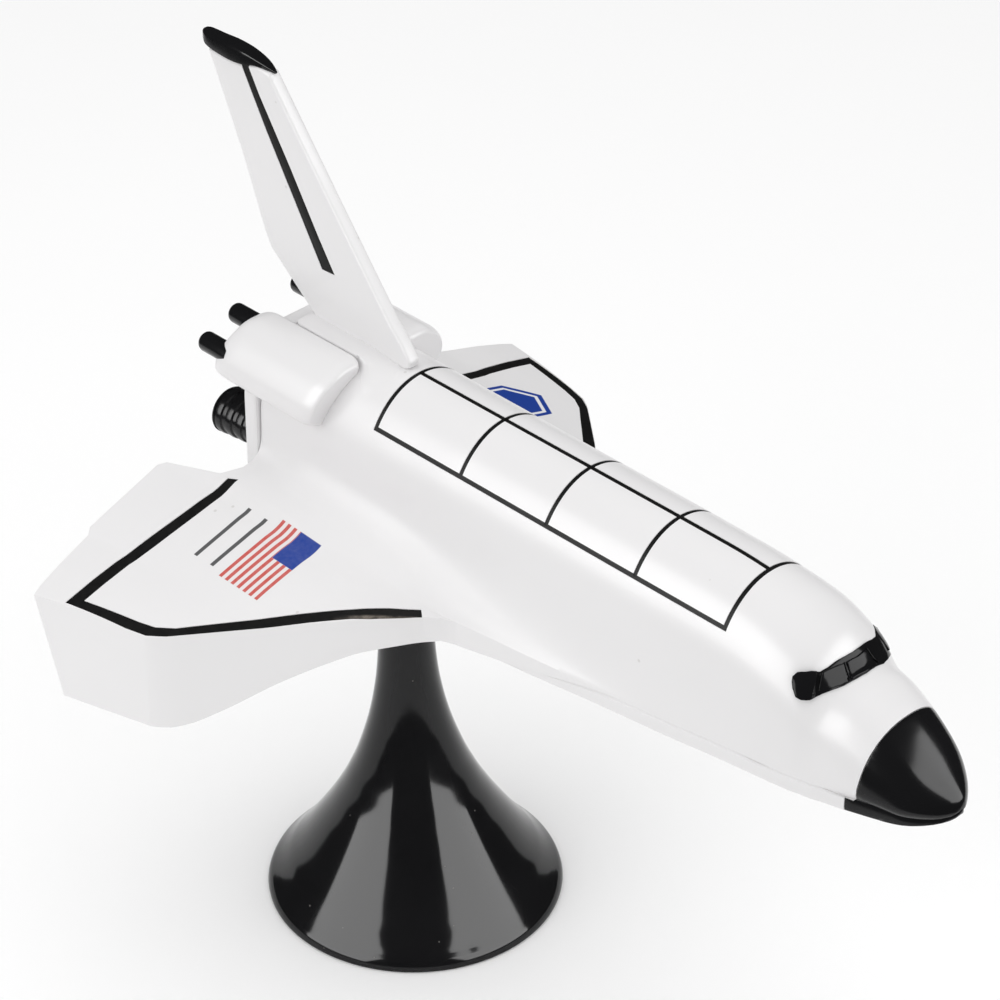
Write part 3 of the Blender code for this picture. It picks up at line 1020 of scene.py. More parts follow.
@dataclass
class Shell:
    """The upper shell: body and both wings as one moulding, and the body's other skins."""

    body: BodyForm
    wings: WingForm
    cut_x: float = 121.3
    cut_z: float = 92.0
    cut_slope: float = 0.15
    floor_rise: float = 3.65
    wing_root: float = 33.0
    edge_round: float = 1.0
    seam: float = 0.2
    lip_inset: float = 0.45
    inset_from: Flat = (118.0, 128.0)
    lip_aft: float = 1.5
    least_rise: float = 0.5
    rise_from: Flat = (34.0, 72.0)
    glove_top: float = 92.15
    deck_top: float = 97.6
    glove_lift: float = 0.4
    glove_y: Flat = (19.5, 27.0)
    aft_face: float = -25.9
    aft_half: float = 19.5
    wing_from: float = 21.0
    side_from: Flat = (26.0, 118.0)
    sharp: float = 34.0
    nose_from: float = 112.0
    nose_gap: float = 0.18
    nose_inset: float = 0.12
    lip_gap: float = 0.04
    chine_high: float = 1.2
    belly_end: float = 124.0
    belly_gap: float = 0.2
    belly_inset: float = 1.1
    belly_corner: float = 0.4

    def rise(self, along: float) -> float:
        """How high over the keel the shell's floor lies, less towards the wings."""
        return mix(self.least_rise, self.floor_rise, ramp(along, *self.rise_from))

    def top_nets(self, under: bool) -> list[list[list[Point]]]:
        """Nets over the body and both wings, or the same nets under them.

        Args:
            under: True for the underside.

        Returns:
            The nets as rows of points; their shared borders are equal.
        """
        rows = self.body.rows()
        net = []
        for st in rows:
            half = self.body.half_section(st)
            if under:
                half = [(y, min(z, st.keel + self.rise(st.along))) for y, z in half]
            row = [(st.along, -y, z) for y, z in reversed(half[1:])]
            net.append(row + [(st.along, y, z) for y, z in half])
        nets = [net]
        root = [st for st in rows if st.along <= self.wing_root + 1e-6]
        span = root[-1].along - root[0].along
        shares = [(st.along - root[0].along) / span for st in root]
        for side in Side:
            nets.append([self.chord_line(st, t, side.value, under) for st, t in zip(root, shares)])
        return nets

    def chord_line(self, st: Station, share: float, sign: int, under: bool) -> list[Point]:
        """One line of a wing net, from the body's edge to the tip.

        Args:
            st: the body's cross-section that the line starts on.
            share: 0 on the trailing edge, 1 on the leading edge.
            sign: the side.
            under: True for the underside.

        Returns:
            Points in millimetres.
        """
        drop = (st.edge_top - self.glove_top) / (self.deck_top - self.glove_top)
        floor = st.keel + self.rise(st.along)
        line = [(st.along, sign * st.edge, min(floor, st.edge_top) if under else st.edge_top)]
        for row in self.wings.edge_rows():
            lead, trail = row.lead, row.trail
            y = mix(trail[1], lead[1], share)
            if under:
                run = self.wings.lean * (trail[2] - self.wings.under(trail[1])) / 20.0
                x = mix(trail[0] + run, lead[0], share)
                z = self.wings.under(y)
                line.append((x, sign * y, z))
                continue
            x = mix(trail[0], lead[0], share)
            flat = mix(trail[2], lead[2], share) + self.wings.bow * math.sin(math.pi * share)
            shaped = lead[2] + (trail[2] - lead[2]) * drop + self.glove_lift
            line.append((x, sign * y, mix(shaped, flat, ramp(y, *self.glove_y))))
        return line

    def build_hull(self) -> Piece:
        """Make the closed upper shell with its wings and cut it at the nose joint.

        Returns:
            The shell.
        """
        tops = [Bench.net("hull_shell", net) for net in self.top_nets(False)]
        Bench.join(tops[0], tops[1:])
        lows = [Bench.net("hull_low", net) for net in self.top_nets(True)]
        Bench.join(lows[0], lows[1:])
        hull, low = tops[0], lows[0]
        for obj in (hull, low):
            Bench.weld(obj)
        self.close_wall(hull, low)
        Bench.halve(hull, (self.cut_x, 0.0, self.cut_z), (1.0, 0.0, -self.cut_slope), False)
        return hull

    def close_wall(self, hull: Piece, low: Piece) -> None:
        """Join the two skins by a wall round their outline and round its edges.

        Args:
            hull: the upper skin.
            low: the lower skin, with the same net.
        """
        Bench.join(hull, [low])
        Bench.edit(hull, "DESELECT")
        bpy.ops.mesh.select_mode(type="EDGE")
        bpy.ops.mesh.select_non_manifold(
            extend=False, use_wire=False, use_multi_face=False, use_non_contiguous=False, use_verts=False
        )
        bpy.ops.mesh.bridge_edge_loops()
        bpy.ops.mesh.select_all(action="SELECT")
        bpy.ops.mesh.normals_make_consistent(inside=False)
        Bench.round_edges(hull, self.is_corner, self.edge_round, 4)

    def is_corner(self, edge: bmesh.types.BMEdge, middle: Vector) -> bool:
        """Whether an edge is a sharp corner of a wing or of the body's side.

        Args:
            edge: the edge.
            middle: its middle in millimetres.

        Returns:
            True where it is to be rounded.
        """
        if len(edge.link_faces) != 2 or middle.x < self.aft_face and abs(middle.y) < self.aft_half:
            return False
        low, high = self.side_from
        outer = abs(middle.y) > self.wing_from or low < middle.x < high
        return outer and edge.calc_face_angle() > math.radians(self.sharp)

    def build_nose(self) -> tuple[Piece, Piece]:
        """Make the black nose cap ahead of its joint, and the lip under its seam.

        Returns:
            The cap and the lip.
        """
        domes = []
        lips = []
        for st in self.body.rows(low=self.nose_from):
            half = self.body.half_section(st)
            low = st.edge_top - self.seam
            half += [(st.edge - self.nose_inset, low), (st.edge * 0.5, low), (0.0, low)]
            domes.append(ring(st.along, half))
            edge = max(0.3, st.edge - self.lip_inset * ramp(st.along, *self.inset_from))
            top = low - self.lip_gap
            high = min(self.chine_high, (top - st.keel) * 0.5)
            half = [(0.0, top), (edge * 0.5, top), (edge, top), *self.chine(edge, st.keel, high)]
            lips.append(ring(st.along, half))
        dome = Bench.skin("nose_shell", domes)
        joint = (self.cut_x + self.nose_gap, 0.0, self.cut_z)
        Bench.halve(dome, joint, (1.0, 0.0, -self.cut_slope), True)
        lip = Bench.skin("nose_lip", lips)
        Bench.halve(lip, (self.cut_x - self.lip_aft, 0.0, self.cut_z), (1.0, 0.0, 0.0), True)
        for piece in (dome, lip):
            Bench.round_sharp(piece, 0.3)
        return dome, lip

    @staticmethod
    def chine(edge: float, keel: float, high: float) -> list[Flat]:
        """The soft lower edge of a side and the flat bottom, from the port side to the middle.

        Args:
            edge: half of the width.
            keel: height of the bottom.
            high: how far up the softness reaches.

        Returns:
            (y, z) pairs.
        """
        wide = min(0.8, edge * 0.2)
        soft = [(edge, keel + high), (edge - wide * 0.15, keel + high * 0.33), (edge - wide, keel)]
        return [*soft, (edge * 0.5, keel), (0.0, keel)]

    def build_belly(self) -> Piece:
        """Make the lower shell, a plate that follows the keel.

        Returns:
            The plate.
        """
        rings = []
        for st in self.body.rows(high=self.belly_end):
            rise = self.rise(st.along)
            full = (rise - self.belly_gap) / (self.floor_rise - self.belly_gap)
            top = st.keel + rise - self.belly_gap
            edge = st.edge - self.belly_inset * (1 - full)
            corner = self.belly_corner * full
            half = [(0.0, top), (edge * 0.5, top), (edge - corner, top), (edge, top - corner)]
            half += self.chine(edge, st.keel, self.chine_high * full)
            rings.append(ring(st.along, half))
        belly = Bench.skin("belly_shell", rings)
        end = self.cut_x - self.lip_aft - 0.06
        Bench.halve(belly, (end, 0.0, self.cut_z), (1.0, 0.0, 0.0), False)
        return belly


SurfacePoint = tuple[Vector, Vector]


class Skin:
    """The shell's outer surface, which lines and panes are laid on."""

    AXIS_Z = 107.0
    ABOVE_Z = 200.0

    def __init__(self, hull: Piece) -> None:
        """Read the surface before anything is cut into it.

        Args:
            hull: the shell.
        """
        mesh = bmesh.new()
        mesh.from_mesh(hull.data)
        self.tree = BVHTree.FromBMesh(mesh)
        mesh.free()

    def from_above(self, x: float, y: float, least: float = 0.8) -> SurfacePoint | None:
        """Point and normal of the surface under a place in the plan.

        Args:
            x: place in millimetres.
            y: place in millimetres.
            least: the least upward part that the normal may have.

        Returns:
            The point in millimetres and the normal, or None off the surface.
        """
        hit, normal, _, _ = self.tree.ray_cast(Vector((x, y, self.ABOVE_Z)) * MM, Vector((0, 0, -1)))
        if hit is None or normal.z < least:
            return None
        return hit / MM, normal

    def from_axis(self, x: float, angle: float) -> SurfacePoint:
        """Point and normal of the body, seen from its axis.

        Args:
            x: place along the toy in millimetres.
            angle: the angle from the crown in degrees.

        Returns:
            The point in millimetres and the normal.
        """
        a = math.radians(angle)
        way = Vector((0.0, math.sin(a), math.cos(a)))
        hit, normal, _, _ = self.tree.ray_cast(Vector((x, 0.0, self.AXIS_Z)) * MM, way)
        if hit is None:
            raise ValueError(f"nothing at {x:.1f}, angle {angle:.1f}")
        return hit / MM, normal if normal.dot(way) > 0 else -normal

    def rows(
        self,
        edges: Sequence[Pair],
        trim: float = 0.0,
        pitch: float = 1.2,
        across: int = 3,
        least: float = 0.8,
    ) -> list[list[SurfacePoint]]:
        """Rows across a band in the plan, given its two edges.

        Args:
            edges: pairs of plan points, on the one and the other edge.
            trim: how much narrower than the edges each side is.
            pitch: the rows' distance.
            across: steps across the band.
            least: as in from_above.

        Returns:
            The rows.
        """
        rows = []
        for (a0, b0), (a1, b1) in zip(edges, edges[1:]):
            count = max(1, round(max(math.dist(a0, a1), math.dist(b0, b1)) / pitch))
            for k in range(count + 1):
                if k == count and (a1, b1) != edges[-1]:
                    continue
                t = k / count
                a = [mix(p, q, t) for p, q in zip(a0, a1)]
                b = [mix(p, q, t) for p, q in zip(b0, b1)]
                start = 0.0
                while not self.from_above(mix(a[0], b[0], start), mix(a[1], b[1], start), least):
                    start += 0.02
                cut = trim / math.dist(a, b)
                row = []
                for j in range(across + 1):
                    s = start + cut + (1 - start - 2 * cut) * j / across
                    row.append(self.from_above(mix(a[0], b[0], s), mix(a[1], b[1], s), least))
                rows.append(row)
        return rows

    @staticmethod
    def plate(
        name: str, rows: Sequence[Sequence[SurfacePoint]], high: float | Flat, low: float
    ) -> Piece:
        """A closed plate or strip that follows the surface.

        Args:
            name: its name.
            rows: rows across it of surface points and normals.
            high: height of its top over the surface, or heights at its two edges.
            low: height of its bottom.

        Returns:
            The plate.
        """
        first, last = high if isinstance(high, tuple) else (high, high)
        rings = []
        for row in rows:
            steps = len(row) - 1
            top = [tuple(p + n * mix(first, last, j / steps)) for j, (p, n) in enumerate(row)]
            bottom = [tuple(p + n * low) for p, n in row]
            rings.append(top + bottom[::-1])
        return Bench.skin(name, rings)


@dataclass
class WindowBand:
    """The raised black band of cockpit windows and its five proud panes."""

    skin: Skin
    across: int = 6
    least: float = 0.05
    base_high: float = 0.3
    root: float = -0.5
    base: Band = (
        ((106.9, -10.7), (107.5, -11.2)),
        ((107.2, -9.95), (108.4, -11.45)),
        ((108.2, -9.05), (109.6, -11.05)),
        ((109.2, -8.15), (110.65, -10.3)),
        ((110.0, -7.2), (111.45, -9.1)),
        ((110.45, -5.7), (112.45, -7.3)),
        ((110.7, -3.7), (113.6, -4.9)),
        ((110.95, -1.8), (114.25, -2.4)),
        ((111.05, 0.0), (114.5, 0.0)),
    )
    side: Band = (
        ((106.95, -10.4), (107.15, -10.8)),
        ((107.3, -9.7), (107.7, -11.15)),
        ((108.3, -8.95), (108.6, -11.35)),
        ((108.95, -8.3), (109.45, -11.1)),
        ((109.55, -7.7), (110.2, -10.6)),
        ((110.1, -8.4), (110.8, -10.05)),
        ((110.6, -8.9), (111.2, -9.5)),
    )
    front: Band = (
        ((110.15, -7.1), (111.15, -8.8)),
        ((110.65, -5.7), (112.35, -7.15)),
        ((111.4, -3.15), (113.75, -3.95)),
    )
    middle: Band = (
        ((111.5, -2.45), (113.95, -3.15)),
        ((111.7, 0.0), (114.4, 0.0)),
        ((111.5, 2.45), (113.95, 3.15)),
    )
    side_high: Flat = (1.05, 0.8)
    front_high: Flat = (0.85, 0.5)
    middle_high: Flat = (0.75, 0.4)
    port_sink: float = 0.22
    port_reach: float = 0.6
    port_drop: float = 0.95
    port_from: Flat = (2.0, 6.0)
    slope: float = 0.55
    ridge: Band = (
        ((111.4, -2.88), (113.8, -3.65)),
        ((111.4, -2.72), (113.8, -3.49)),
    )
    ridge_high: Flat = (0.6, 0.48)

    def pane(
        self, name: str, edges: Sequence[Pair], high: Flat, edge: float, slope: float = 0.0
    ) -> Piece:
        """One proud pane.

        Args:
            name: its name.
            edges: its back and front edges in the plan.
            high: how proud it stands at them.
            edge: the rounding of its edges.
            slope: how much lower its last row lies.

        Returns:
            The pane.
        """
        rows = self.skin.rows(edges, pitch=0.7, across=self.across, least=self.least)
        rows[-1] = [(p - n * slope, n) for p, n in rows[-1]]
        pane = Skin.plate(name, rows, high, self.root)
        Bench.round_sharp(pane, edge)
        Bench.smooth(pane)
        return pane

    def build(self) -> list[Piece]:
        """Make the band, its panes and the thin ridges between them.

        Returns:
            The band first, then the rest.
        """
        full = list(self.base)
        for a, b in reversed(self.base[:-1]):
            reach = self.port_reach * ramp(-b[1], *self.port_from)
            full.append(((a[0], -a[1]), (b[0] + reach, -b[1])))
        rows = []
        for row in self.skin.rows(full, pitch=0.8, across=self.across, least=self.least):
            rows.append([(p - n * self.port_sink * ramp(p.y, *self.port_from), n) for p, n in row])
        band = Skin.plate("window_glass", rows, self.base_high, self.root)
        Bench.round_sharp(band, 0.15)
        Bench.smooth(band)
        side = self.pane("window_side_right", self.side, self.side_high, 0.3, self.slope)
        front = self.pane("window_front_right", self.front, self.front_high, 0.2)
        middle = self.pane("window_middle", self.middle, self.middle_high, 0.2)
        ridge = self.pane("window_ridge_right", self.ridge, self.ridge_high, 0.05)
        twins = []
        for tag, edges, high, edge in (
            ("side", self.side, self.side_high, 0.2), ("front", self.front, self.front_high, 0.15),
        ):
            low = (high[0] - self.port_drop, high[1] - self.port_drop / 2)
            draft = self.pane("draft", edges, low, edge)
            twins.append(Bench.mirrored(draft, f"window_{tag}_left"))
            bpy.data.objects.remove(draft, do_unlink=True)
        twins.append(Bench.mirrored(ridge, "window_ridge_left"))
        return [band, side, front, middle, ridge, *twins]


@dataclass
class Grooves:
    """The grooves of the wing stripes and the bay, and the black paint in them."""

    hull: Piece
    skin: Skin
    depth: float = 0.32
    clear: float = 0.6
    paint: float = 0.1
    paint_root: float = 0.2
    wing_trim: float = 0.06
    wing_least: float = 0.72
    bay_trim: float = 0.03
    bay_width: float = 0.92
    bay_radius: float = 15.5
    bay_x: tuple[float, ...] = (3.6, 26.0, 48.05, 70.1, 91.5)
    bay_angle: float = 49.6
    line_steps: int = 70
    arc_steps: int = 44
    stripe: Band = (
        ((-26.6, 22.9), (-24.5, 21.9)),
        ((-27.6, 29.5), (-25.0, 28.5)),
        ((-29.0, 42.0), (-26.1, 41.5)),
        ((-29.6, 49.0), (-26.8, 48.0)),
        ((-29.45, 61.6), (-26.6, 59.2)),
        ((-14.8, 59.05), (-13.9, 56.6)),
        ((-10.4, 57.9), (-10.3, 55.6)),
        ((-7.0, 55.9), (-6.9, 53.5)),
        ((-2.0, 51.6), (-3.4, 50.2)),
        ((6.5, 44.2), (4.8, 42.6)),
        ((18.9, 32.9), (17.0, 31.2)),
        ((24.6, 28.4), (22.0, 26.2)),
        ((29.2, 24.4), (26.6, 22.3)),
    )

    def wing_edges(self, sign: int) -> list[Pair]:
        """A stripe's outer and inner edge on one side, from the hinge line round to the glove."""
        return [((a[0], sign * a[1]), (b[0], sign * b[1])) for a, b in self.stripe]

    def bay_lines(self, trim: float) -> dict[str, list[list[SurfacePoint]]]:
        """Rows across each line of the bay.

        Args:
            trim: how far inside its groove a line ends at each edge.

        Returns:
            The rows by the line's name.
        """
        half = self.bay_width / 2 - trim
        turn = math.degrees(half / self.bay_radius)
        first, last = self.bay_x[0] - half, self.bay_x[-1] + half
        along = [first + (last - first) * k / self.line_steps for k in range(self.line_steps + 1)]
        count, end = self.arc_steps, self.bay_angle
        sweep = [-end + 2 * end * k / count for k in range(count + 1)]
        look = self.skin.from_axis
        out = {}
        for tag, angle in (("crown", 0.0), ("right", -end), ("left", end)):
            out[f"bay_line_{tag}"] = [[look(x, angle + turn * s) for s in (-1, 0, 1)] for x in along]
        for number, x in enumerate(self.bay_x, 1):
            out[f"bay_arc_{number}"] = [[look(x + half * s, a) for s in (-1, 0, 1)] for a in sweep]
        return out

    def build(self) -> dict[str, Piece]:
        """Cut every groove and lay the paint in it.

        Returns:
            The lines of paint by name.
        """
        tools = []
        paints = {}
        low = -self.depth - self.paint_root
        for side in Side:
            name = f"wing_stripe_{side.tag}"
            edges = self.wing_edges(side.value)
            rows = self.skin.rows(edges, least=self.wing_least)
            tools.append(Skin.plate("tool", rows, self.clear, -self.depth))
            rows = self.skin.rows(edges, self.wing_trim, least=self.wing_least)
            paints[name] = Skin.plate(name, rows, -self.paint, low)
        for rows in self.bay_lines(0.0).values():
            tools.append(Skin.plate("tool", rows, self.clear, -self.depth))
        for name, rows in self.bay_lines(self.bay_trim).items():
            paints[name] = Skin.plate(name, rows, -self.paint, low)
        for tool in tools:
            Bench.cut(self.hull, tool)
        for paint in paints.values():
            Bench.smooth(paint)
        return paints


@dataclass(frozen=True)
class CapRow:
    """One cross-section of the fin's cap, in millimetres."""

    along: float
    half: float
    low: float
    high: float
    corner: float


@dataclass
class Tail:
    """The fin with the stripes in its sides, and its black cap."""

    thick: float = 2.8
    edge_round: float = 0.95
    blade: tuple[Flat, ...] = (
        (-23.3, 124.0), (0.6, 123.9), (1.9, 124.6), (2.1, 126.0), (-0.4, 129.2), (-3.1, 131.9),
        (-18.9, 151.7), (-34.8, 172.0), (-34.9, 172.6), (-38.0, 172.9), (-41.1, 172.3), (-43.2, 171.7),
        (-47.0, 171.5), (-52.5, 171.8), (-49.5, 165.4), (-43.8, 152.8), (-38.1, 138.1), (-36.4, 134.8),
        (-30.8, 130.2),
    )
    cap: tuple[CapRow, ...] = (
        CapRow(-54.7, 0.4, 173.7, 174.5, 0.3),
        CapRow(-54.2, 0.9, 172.9, 174.9, 0.7),
        CapRow(-53.0, 1.35, 172.1, 175.1, 1.1),
        CapRow(-50.0, 1.6, 171.7, 175.1, 1.2),
        CapRow(-46.0, 1.75, 171.6, 175.2, 1.1),
        CapRow(-43.2, 1.7, 171.8, 175.0, 0.8),
        CapRow(-41.1, 1.55, 172.3, 174.7, 0.5),
        CapRow(-38.6, 1.3, 172.8, 174.25, 0.35),
        CapRow(-36.8, 1.0, 172.8, 173.8, 0.3),
        CapRow(-35.4, 0.6, 172.7, 173.3, 0.2),
        CapRow(-34.5, 0.25, 172.5, 172.9, 0.12),
    )
    cap_steps: int = 48
    stripe: tuple[Flat, ...] = (
        (-43.4, 172.8), (-39.9, 166.5), (-36.4, 160.3), (-28.8, 147.8), (-21.8, 136.2),
        (-18.2, 136.4), (-22.4, 142.8), (-30.0, 155.1), (-34.0, 161.2), (-38.0, 167.3), (-41.1, 172.8),
    )
    depth: float = 0.26
    paint: float = 0.08
    paint_root: float = 0.1

    def build(self) -> dict[str, Piece]:
        """Make the tail's pieces.

        Returns:
            The pieces by name.
        """
        half = self.thick / 2
        fin = Bench.slab("fin_blade", [(x, -half, z) for x, z in self.blade], (0.0, self.thick, 0.0))
        Bench.round_sharp(fin, self.edge_round, 40.0, 5)
        pieces = {"fin_blade": fin}
        for side in Side:
            inner = side.value * (half - self.depth)
            corners = [(x, inner, z) for x, z in self.stripe]
            Bench.cut(fin, Bench.slab("tool", corners, (0.0, side.value * 1.0, 0.0)))
            line = [(x, inner - side.value * self.paint_root, z) for x, z in self.stripe]
            fill = side.value * (self.depth + self.paint_root - self.paint)
            paint = Bench.slab(f"fin_stripe_{side.tag}", line, (0.0, fill, 0.0))
            Bench.round_sharp(paint, 0.05, steps=2)
            pieces[paint.name] = paint
        pieces["fin_tip"] = self.build_cap()
        for obj in pieces.values():
            Bench.smooth(obj, 35.0)
        return pieces

    def build_cap(self) -> Piece:
        """Make the cap, soft at its aft end and sharp towards its front tip.

        Returns:
            The cap.
        """
        keys = [row.along for row in self.cap]
        names = ("half", "low", "high", "corner")
        lines = [Curve(keys, [getattr(row, n) for row in self.cap]) for n in names]
        rings = []
        for k in range(self.cap_steps + 1):
            x = mix(keys[0], keys[-1], (1 - math.cos(math.pi * k / self.cap_steps)) / 2)
            rings.append(self.cap_ring(CapRow(x, *(line.at(x) for line in lines))))
        return Bench.skin("fin_tip", rings)

    @staticmethod
    def cap_ring(row: CapRow) -> list[Point]:
        """One cross-section of the cap, with round upper corners.

        Args:
            row: its place and sizes.

        Returns:
            The closed ring.
        """
        side = [(row.half * 0.9, row.low), (row.half, row.low + 0.15)]
        for k in range(7):
            a = math.pi / 2 * k / 6
            y = row.half - row.corner * (1 - math.cos(a))
            side.append((y, row.high - row.corner * (1 - math.sin(a))))
        x = row.along
        return [(x, y, z) for y, z in side] + [(x, -y, z) for y, z in reversed(side)]


@dataclass
class Pad:
    """The low pad under the fin, which runs out into the body's crown at the front."""

    body: BodyForm
    aft: float = -25.6
    fore: float = 3.0
    half: float = 5.4
    flat_half: Flat = (5.3, 1.5)
    spread: float = 5.4
    spread_x: Flat = (-8.2, -2.5)
    sink_from: float = -9.0
    corner: float = 1.6
    edge_round: float = 0.35
    top: float = 125.15
    crown: float = 0.35
    sunk: float = 0.2
    root: float = 118.2
    rim_x: Flat = (-25.5, -8.6)
    rim_z: float = 124.0
    rows: int = 96
    cols: int = 40

    def height(self, x: float, y: float, half: float) -> float:
        """Height of the pad's top.

        Args:
            x: place along the toy.
            y: place across it.
            half: half of the pad's width there.

        Returns:
            The height in millimetres.
        """
        st = self.body.stations[1]
        share = min(1.0, abs(y) / st.half) ** st.power
        skin = st.waist + (st.crown - st.waist) * (1 - share) ** (1 / st.power)
        flat = self.top - self.crown * (y / self.half) ** 2
        spread = ramp(x, *self.spread_x)
        edge = ramp(abs(y), mix(*self.flat_half, spread), half) if spread else 0.0
        left = (1 - edge) * (1 - ramp(x, self.sink_from, self.fore))
        return mix(skin - self.sunk, flat, left)

    def is_rim(self, _: bmesh.types.BMEdge, middle: Vector) -> bool:
        """Whether an edge with this middle is on the top's rim, aft of where the pad spreads."""
        outer = abs(middle.y) > self.flat_half[0] or middle.x < self.rim_x[0]
        return outer and middle.z > self.rim_z and middle.x < self.rim_x[1]

    def build(self) -> Piece:
        """Make the pad.

        Returns:
            The pad.
        """
        rings = []
        for k in range(self.rows + 1):
            x = mix(self.aft, self.fore, k / self.rows)
            half = self.half - self.corner * shoulder((x - self.aft) / self.corner)
            half += self.spread * ramp(x, *self.spread_x)
            ys = [mix(-half, half, j / self.cols) for j in range(self.cols + 1)]
            line = [(x, y, self.height(x, y, half)) for y in ys]
            rings.append([(x, -half, self.root), *line, (x, half, self.root)])
        pad = Bench.skin("fin_pad", rings)
        Bench.round_edges(pad, self.is_rim, self.edge_round, 3)
        Bench.smooth(pad, 50.0)
        return pad


@dataclass
class Pod:
    """One soft engine pod beside the fin, with its two pegs."""

    body: BodyForm
    outline: tuple[Flat, ...] = (
        (5.85, 125.2), (10.8, 125.3), (15.6, 121.8), (17.7, 117.6),
        (17.5, 113.6), (12.0, 111.2), (5.85, 112.6),
    )
    middle_z: float = 115.4
    aft: float = -35.5
    fore: float = -7.7
    steps: int = 60
    aft_end: Flat = (0.26, 4.6)
    fore_end: Flat = (0.17, 3.2)
    lean: float = 0.3
    lean_z: float = 118.6
    corner: float = 3.0
    inner_corner: float = 0.9
    core_gap: float = 0.03
    core_fore: float = 20.0
    core_aft: float = -60.0
    peg_radius: float = 2.05
    peg_root: float = -33.0
    pegs: tuple[tuple[str, float, float, float], ...] = (
        ("inner", 8.0, 121.8, -40.2), ("outer", 15.1, 118.1, -41.0),
    )
    peg_end: tuple[Flat, ...] = ((0.0, 1.0), (0.12, 0.55), (0.4, 0.2), (0.8, 0.0), (1.2, 0.1))
    peg_core: Flat = (0.5, 0.35)
    peg_steps: int = 32

    def section(self) -> list[Flat]:
        """The outline with its corners rounded.

        Returns:
            (y, z) pairs.
        """
        out = []
        count = len(self.outline)
        for i, p in enumerate(self.outline):
            a, b = self.outline[i - 1], self.outline[(i + 1) % count]
            la, lb = math.dist(p, a), math.dist(p, b)
            d = min(self.corner if i else self.inner_corner, la * 0.45, lb * 0.45)
            s = [mix(p[k], a[k], d / la) for k in (0, 1)]
            e = [mix(p[k], b[k], d / lb) for k in (0, 1)]
            for k in range(8):
                t = k / 7
                u = 1 - t
                out.append(tuple(u * u * s[j] + 2 * u * t * p[j] + t * t * e[j] for j in (0, 1)))
        return out

    def build(self) -> tuple[Piece, list[Piece]]:
        """Make the starboard pod and its pegs.

        Returns:
            The pod, and its inner and outer peg.
        """
        section = self.section()
        cy = sum(p[0] for p in section) / len(section)
        cz = self.middle_z
        rings = []
        for k in range(self.steps + 1):
            x = mix(self.aft, self.fore, (1 - math.cos(math.pi * k / self.steps)) / 2)
            scale = 1 - self.aft_end[0] * shoulder((x - self.aft) / self.aft_end[1])
            scale -= self.fore_end[0] * shoulder((self.fore - x) / self.fore_end[1])
            outline = [(cy + (y - cy) * scale, cz + (z - cz) * scale) for y, z in section]
            rings.append([(x + self.lean * (z - self.lean_z), -y, z) for y, z in outline])
        pod = Bench.skin("pod_right", rings)
        core = [self.body.full_ring(st, self.core_gap) for st in self.body.rows(high=self.core_fore)]
        core.insert(0, [(self.core_aft, y, z) for _, y, z in core[0]])
        Bench.cut(pod, Bench.skin("tool", core))
        Bench.smooth(pod)
        return pod, [self.peg(f"peg_{tag}_rod_right", -y, z, end) for tag, y, z, end in self.pegs]

    def peg(self, name: str, y: float, z: float, end: float) -> Piece:
        """Make one peg with a rounded end.

        Args:
            name: its name.
            y: its place across the toy.
            z: its height.
            end: where it ends aft.

        Returns:
            The peg.
        """
        profile = [(self.peg_radius, self.peg_root)]
        profile += [(self.peg_radius - inset, end + deep) for inset, deep in self.peg_end]
        profile.append((self.peg_core[0], end + self.peg_core[1]))
        peg = Bench.skin(name, turned(profile, y, z, self.peg_steps))
        Bench.smooth(peg)
        return peg


@dataclass
class Bell:
    """One ribbed engine bell."""

    name: str
    y: float
    z: float
    root: float
    end: float
    root_radius: float
    end_radius: float
    ribs: int = 5
    rib: tuple[Flat, ...] = ((0.08, 0.0), (0.2, 0.3), (0.45, 0.36), (0.68, 0.3), (0.82, 0.0))
    groove: float = 0.35
    flare: float = 0.6
    mouth: tuple[Flat, ...] = ((0.0, 0.3), (0.15, 0.0), (0.7, 0.0), (1.0, 0.3), (1.8, 2.4))
    throat: Flat = (0.8, 3.2)
    steps: int = 48

    def build(self) -> Piece:
        """Make the bell with its ribs and its open mouth.

        Returns:
            The bell.
        """
        profile = [(self.root_radius - self.groove, self.root)]
        for k in range(self.ribs):
            for part, proud in self.rib:
                t = (k + part) / self.ribs
                radius = mix(self.root_radius, self.end_radius, t**self.flare) - self.groove + proud
                profile.append((radius, mix(self.root, self.end, t)))
        profile += [(self.end_radius - inset, self.end + deep) for inset, deep in self.mouth]
        profile.append((self.throat[0], self.end + self.throat[1]))
        bell = Bench.skin(self.name, turned(profile, self.y, self.z, self.steps))
        Bench.smooth(bell, 30.0)
        return bell


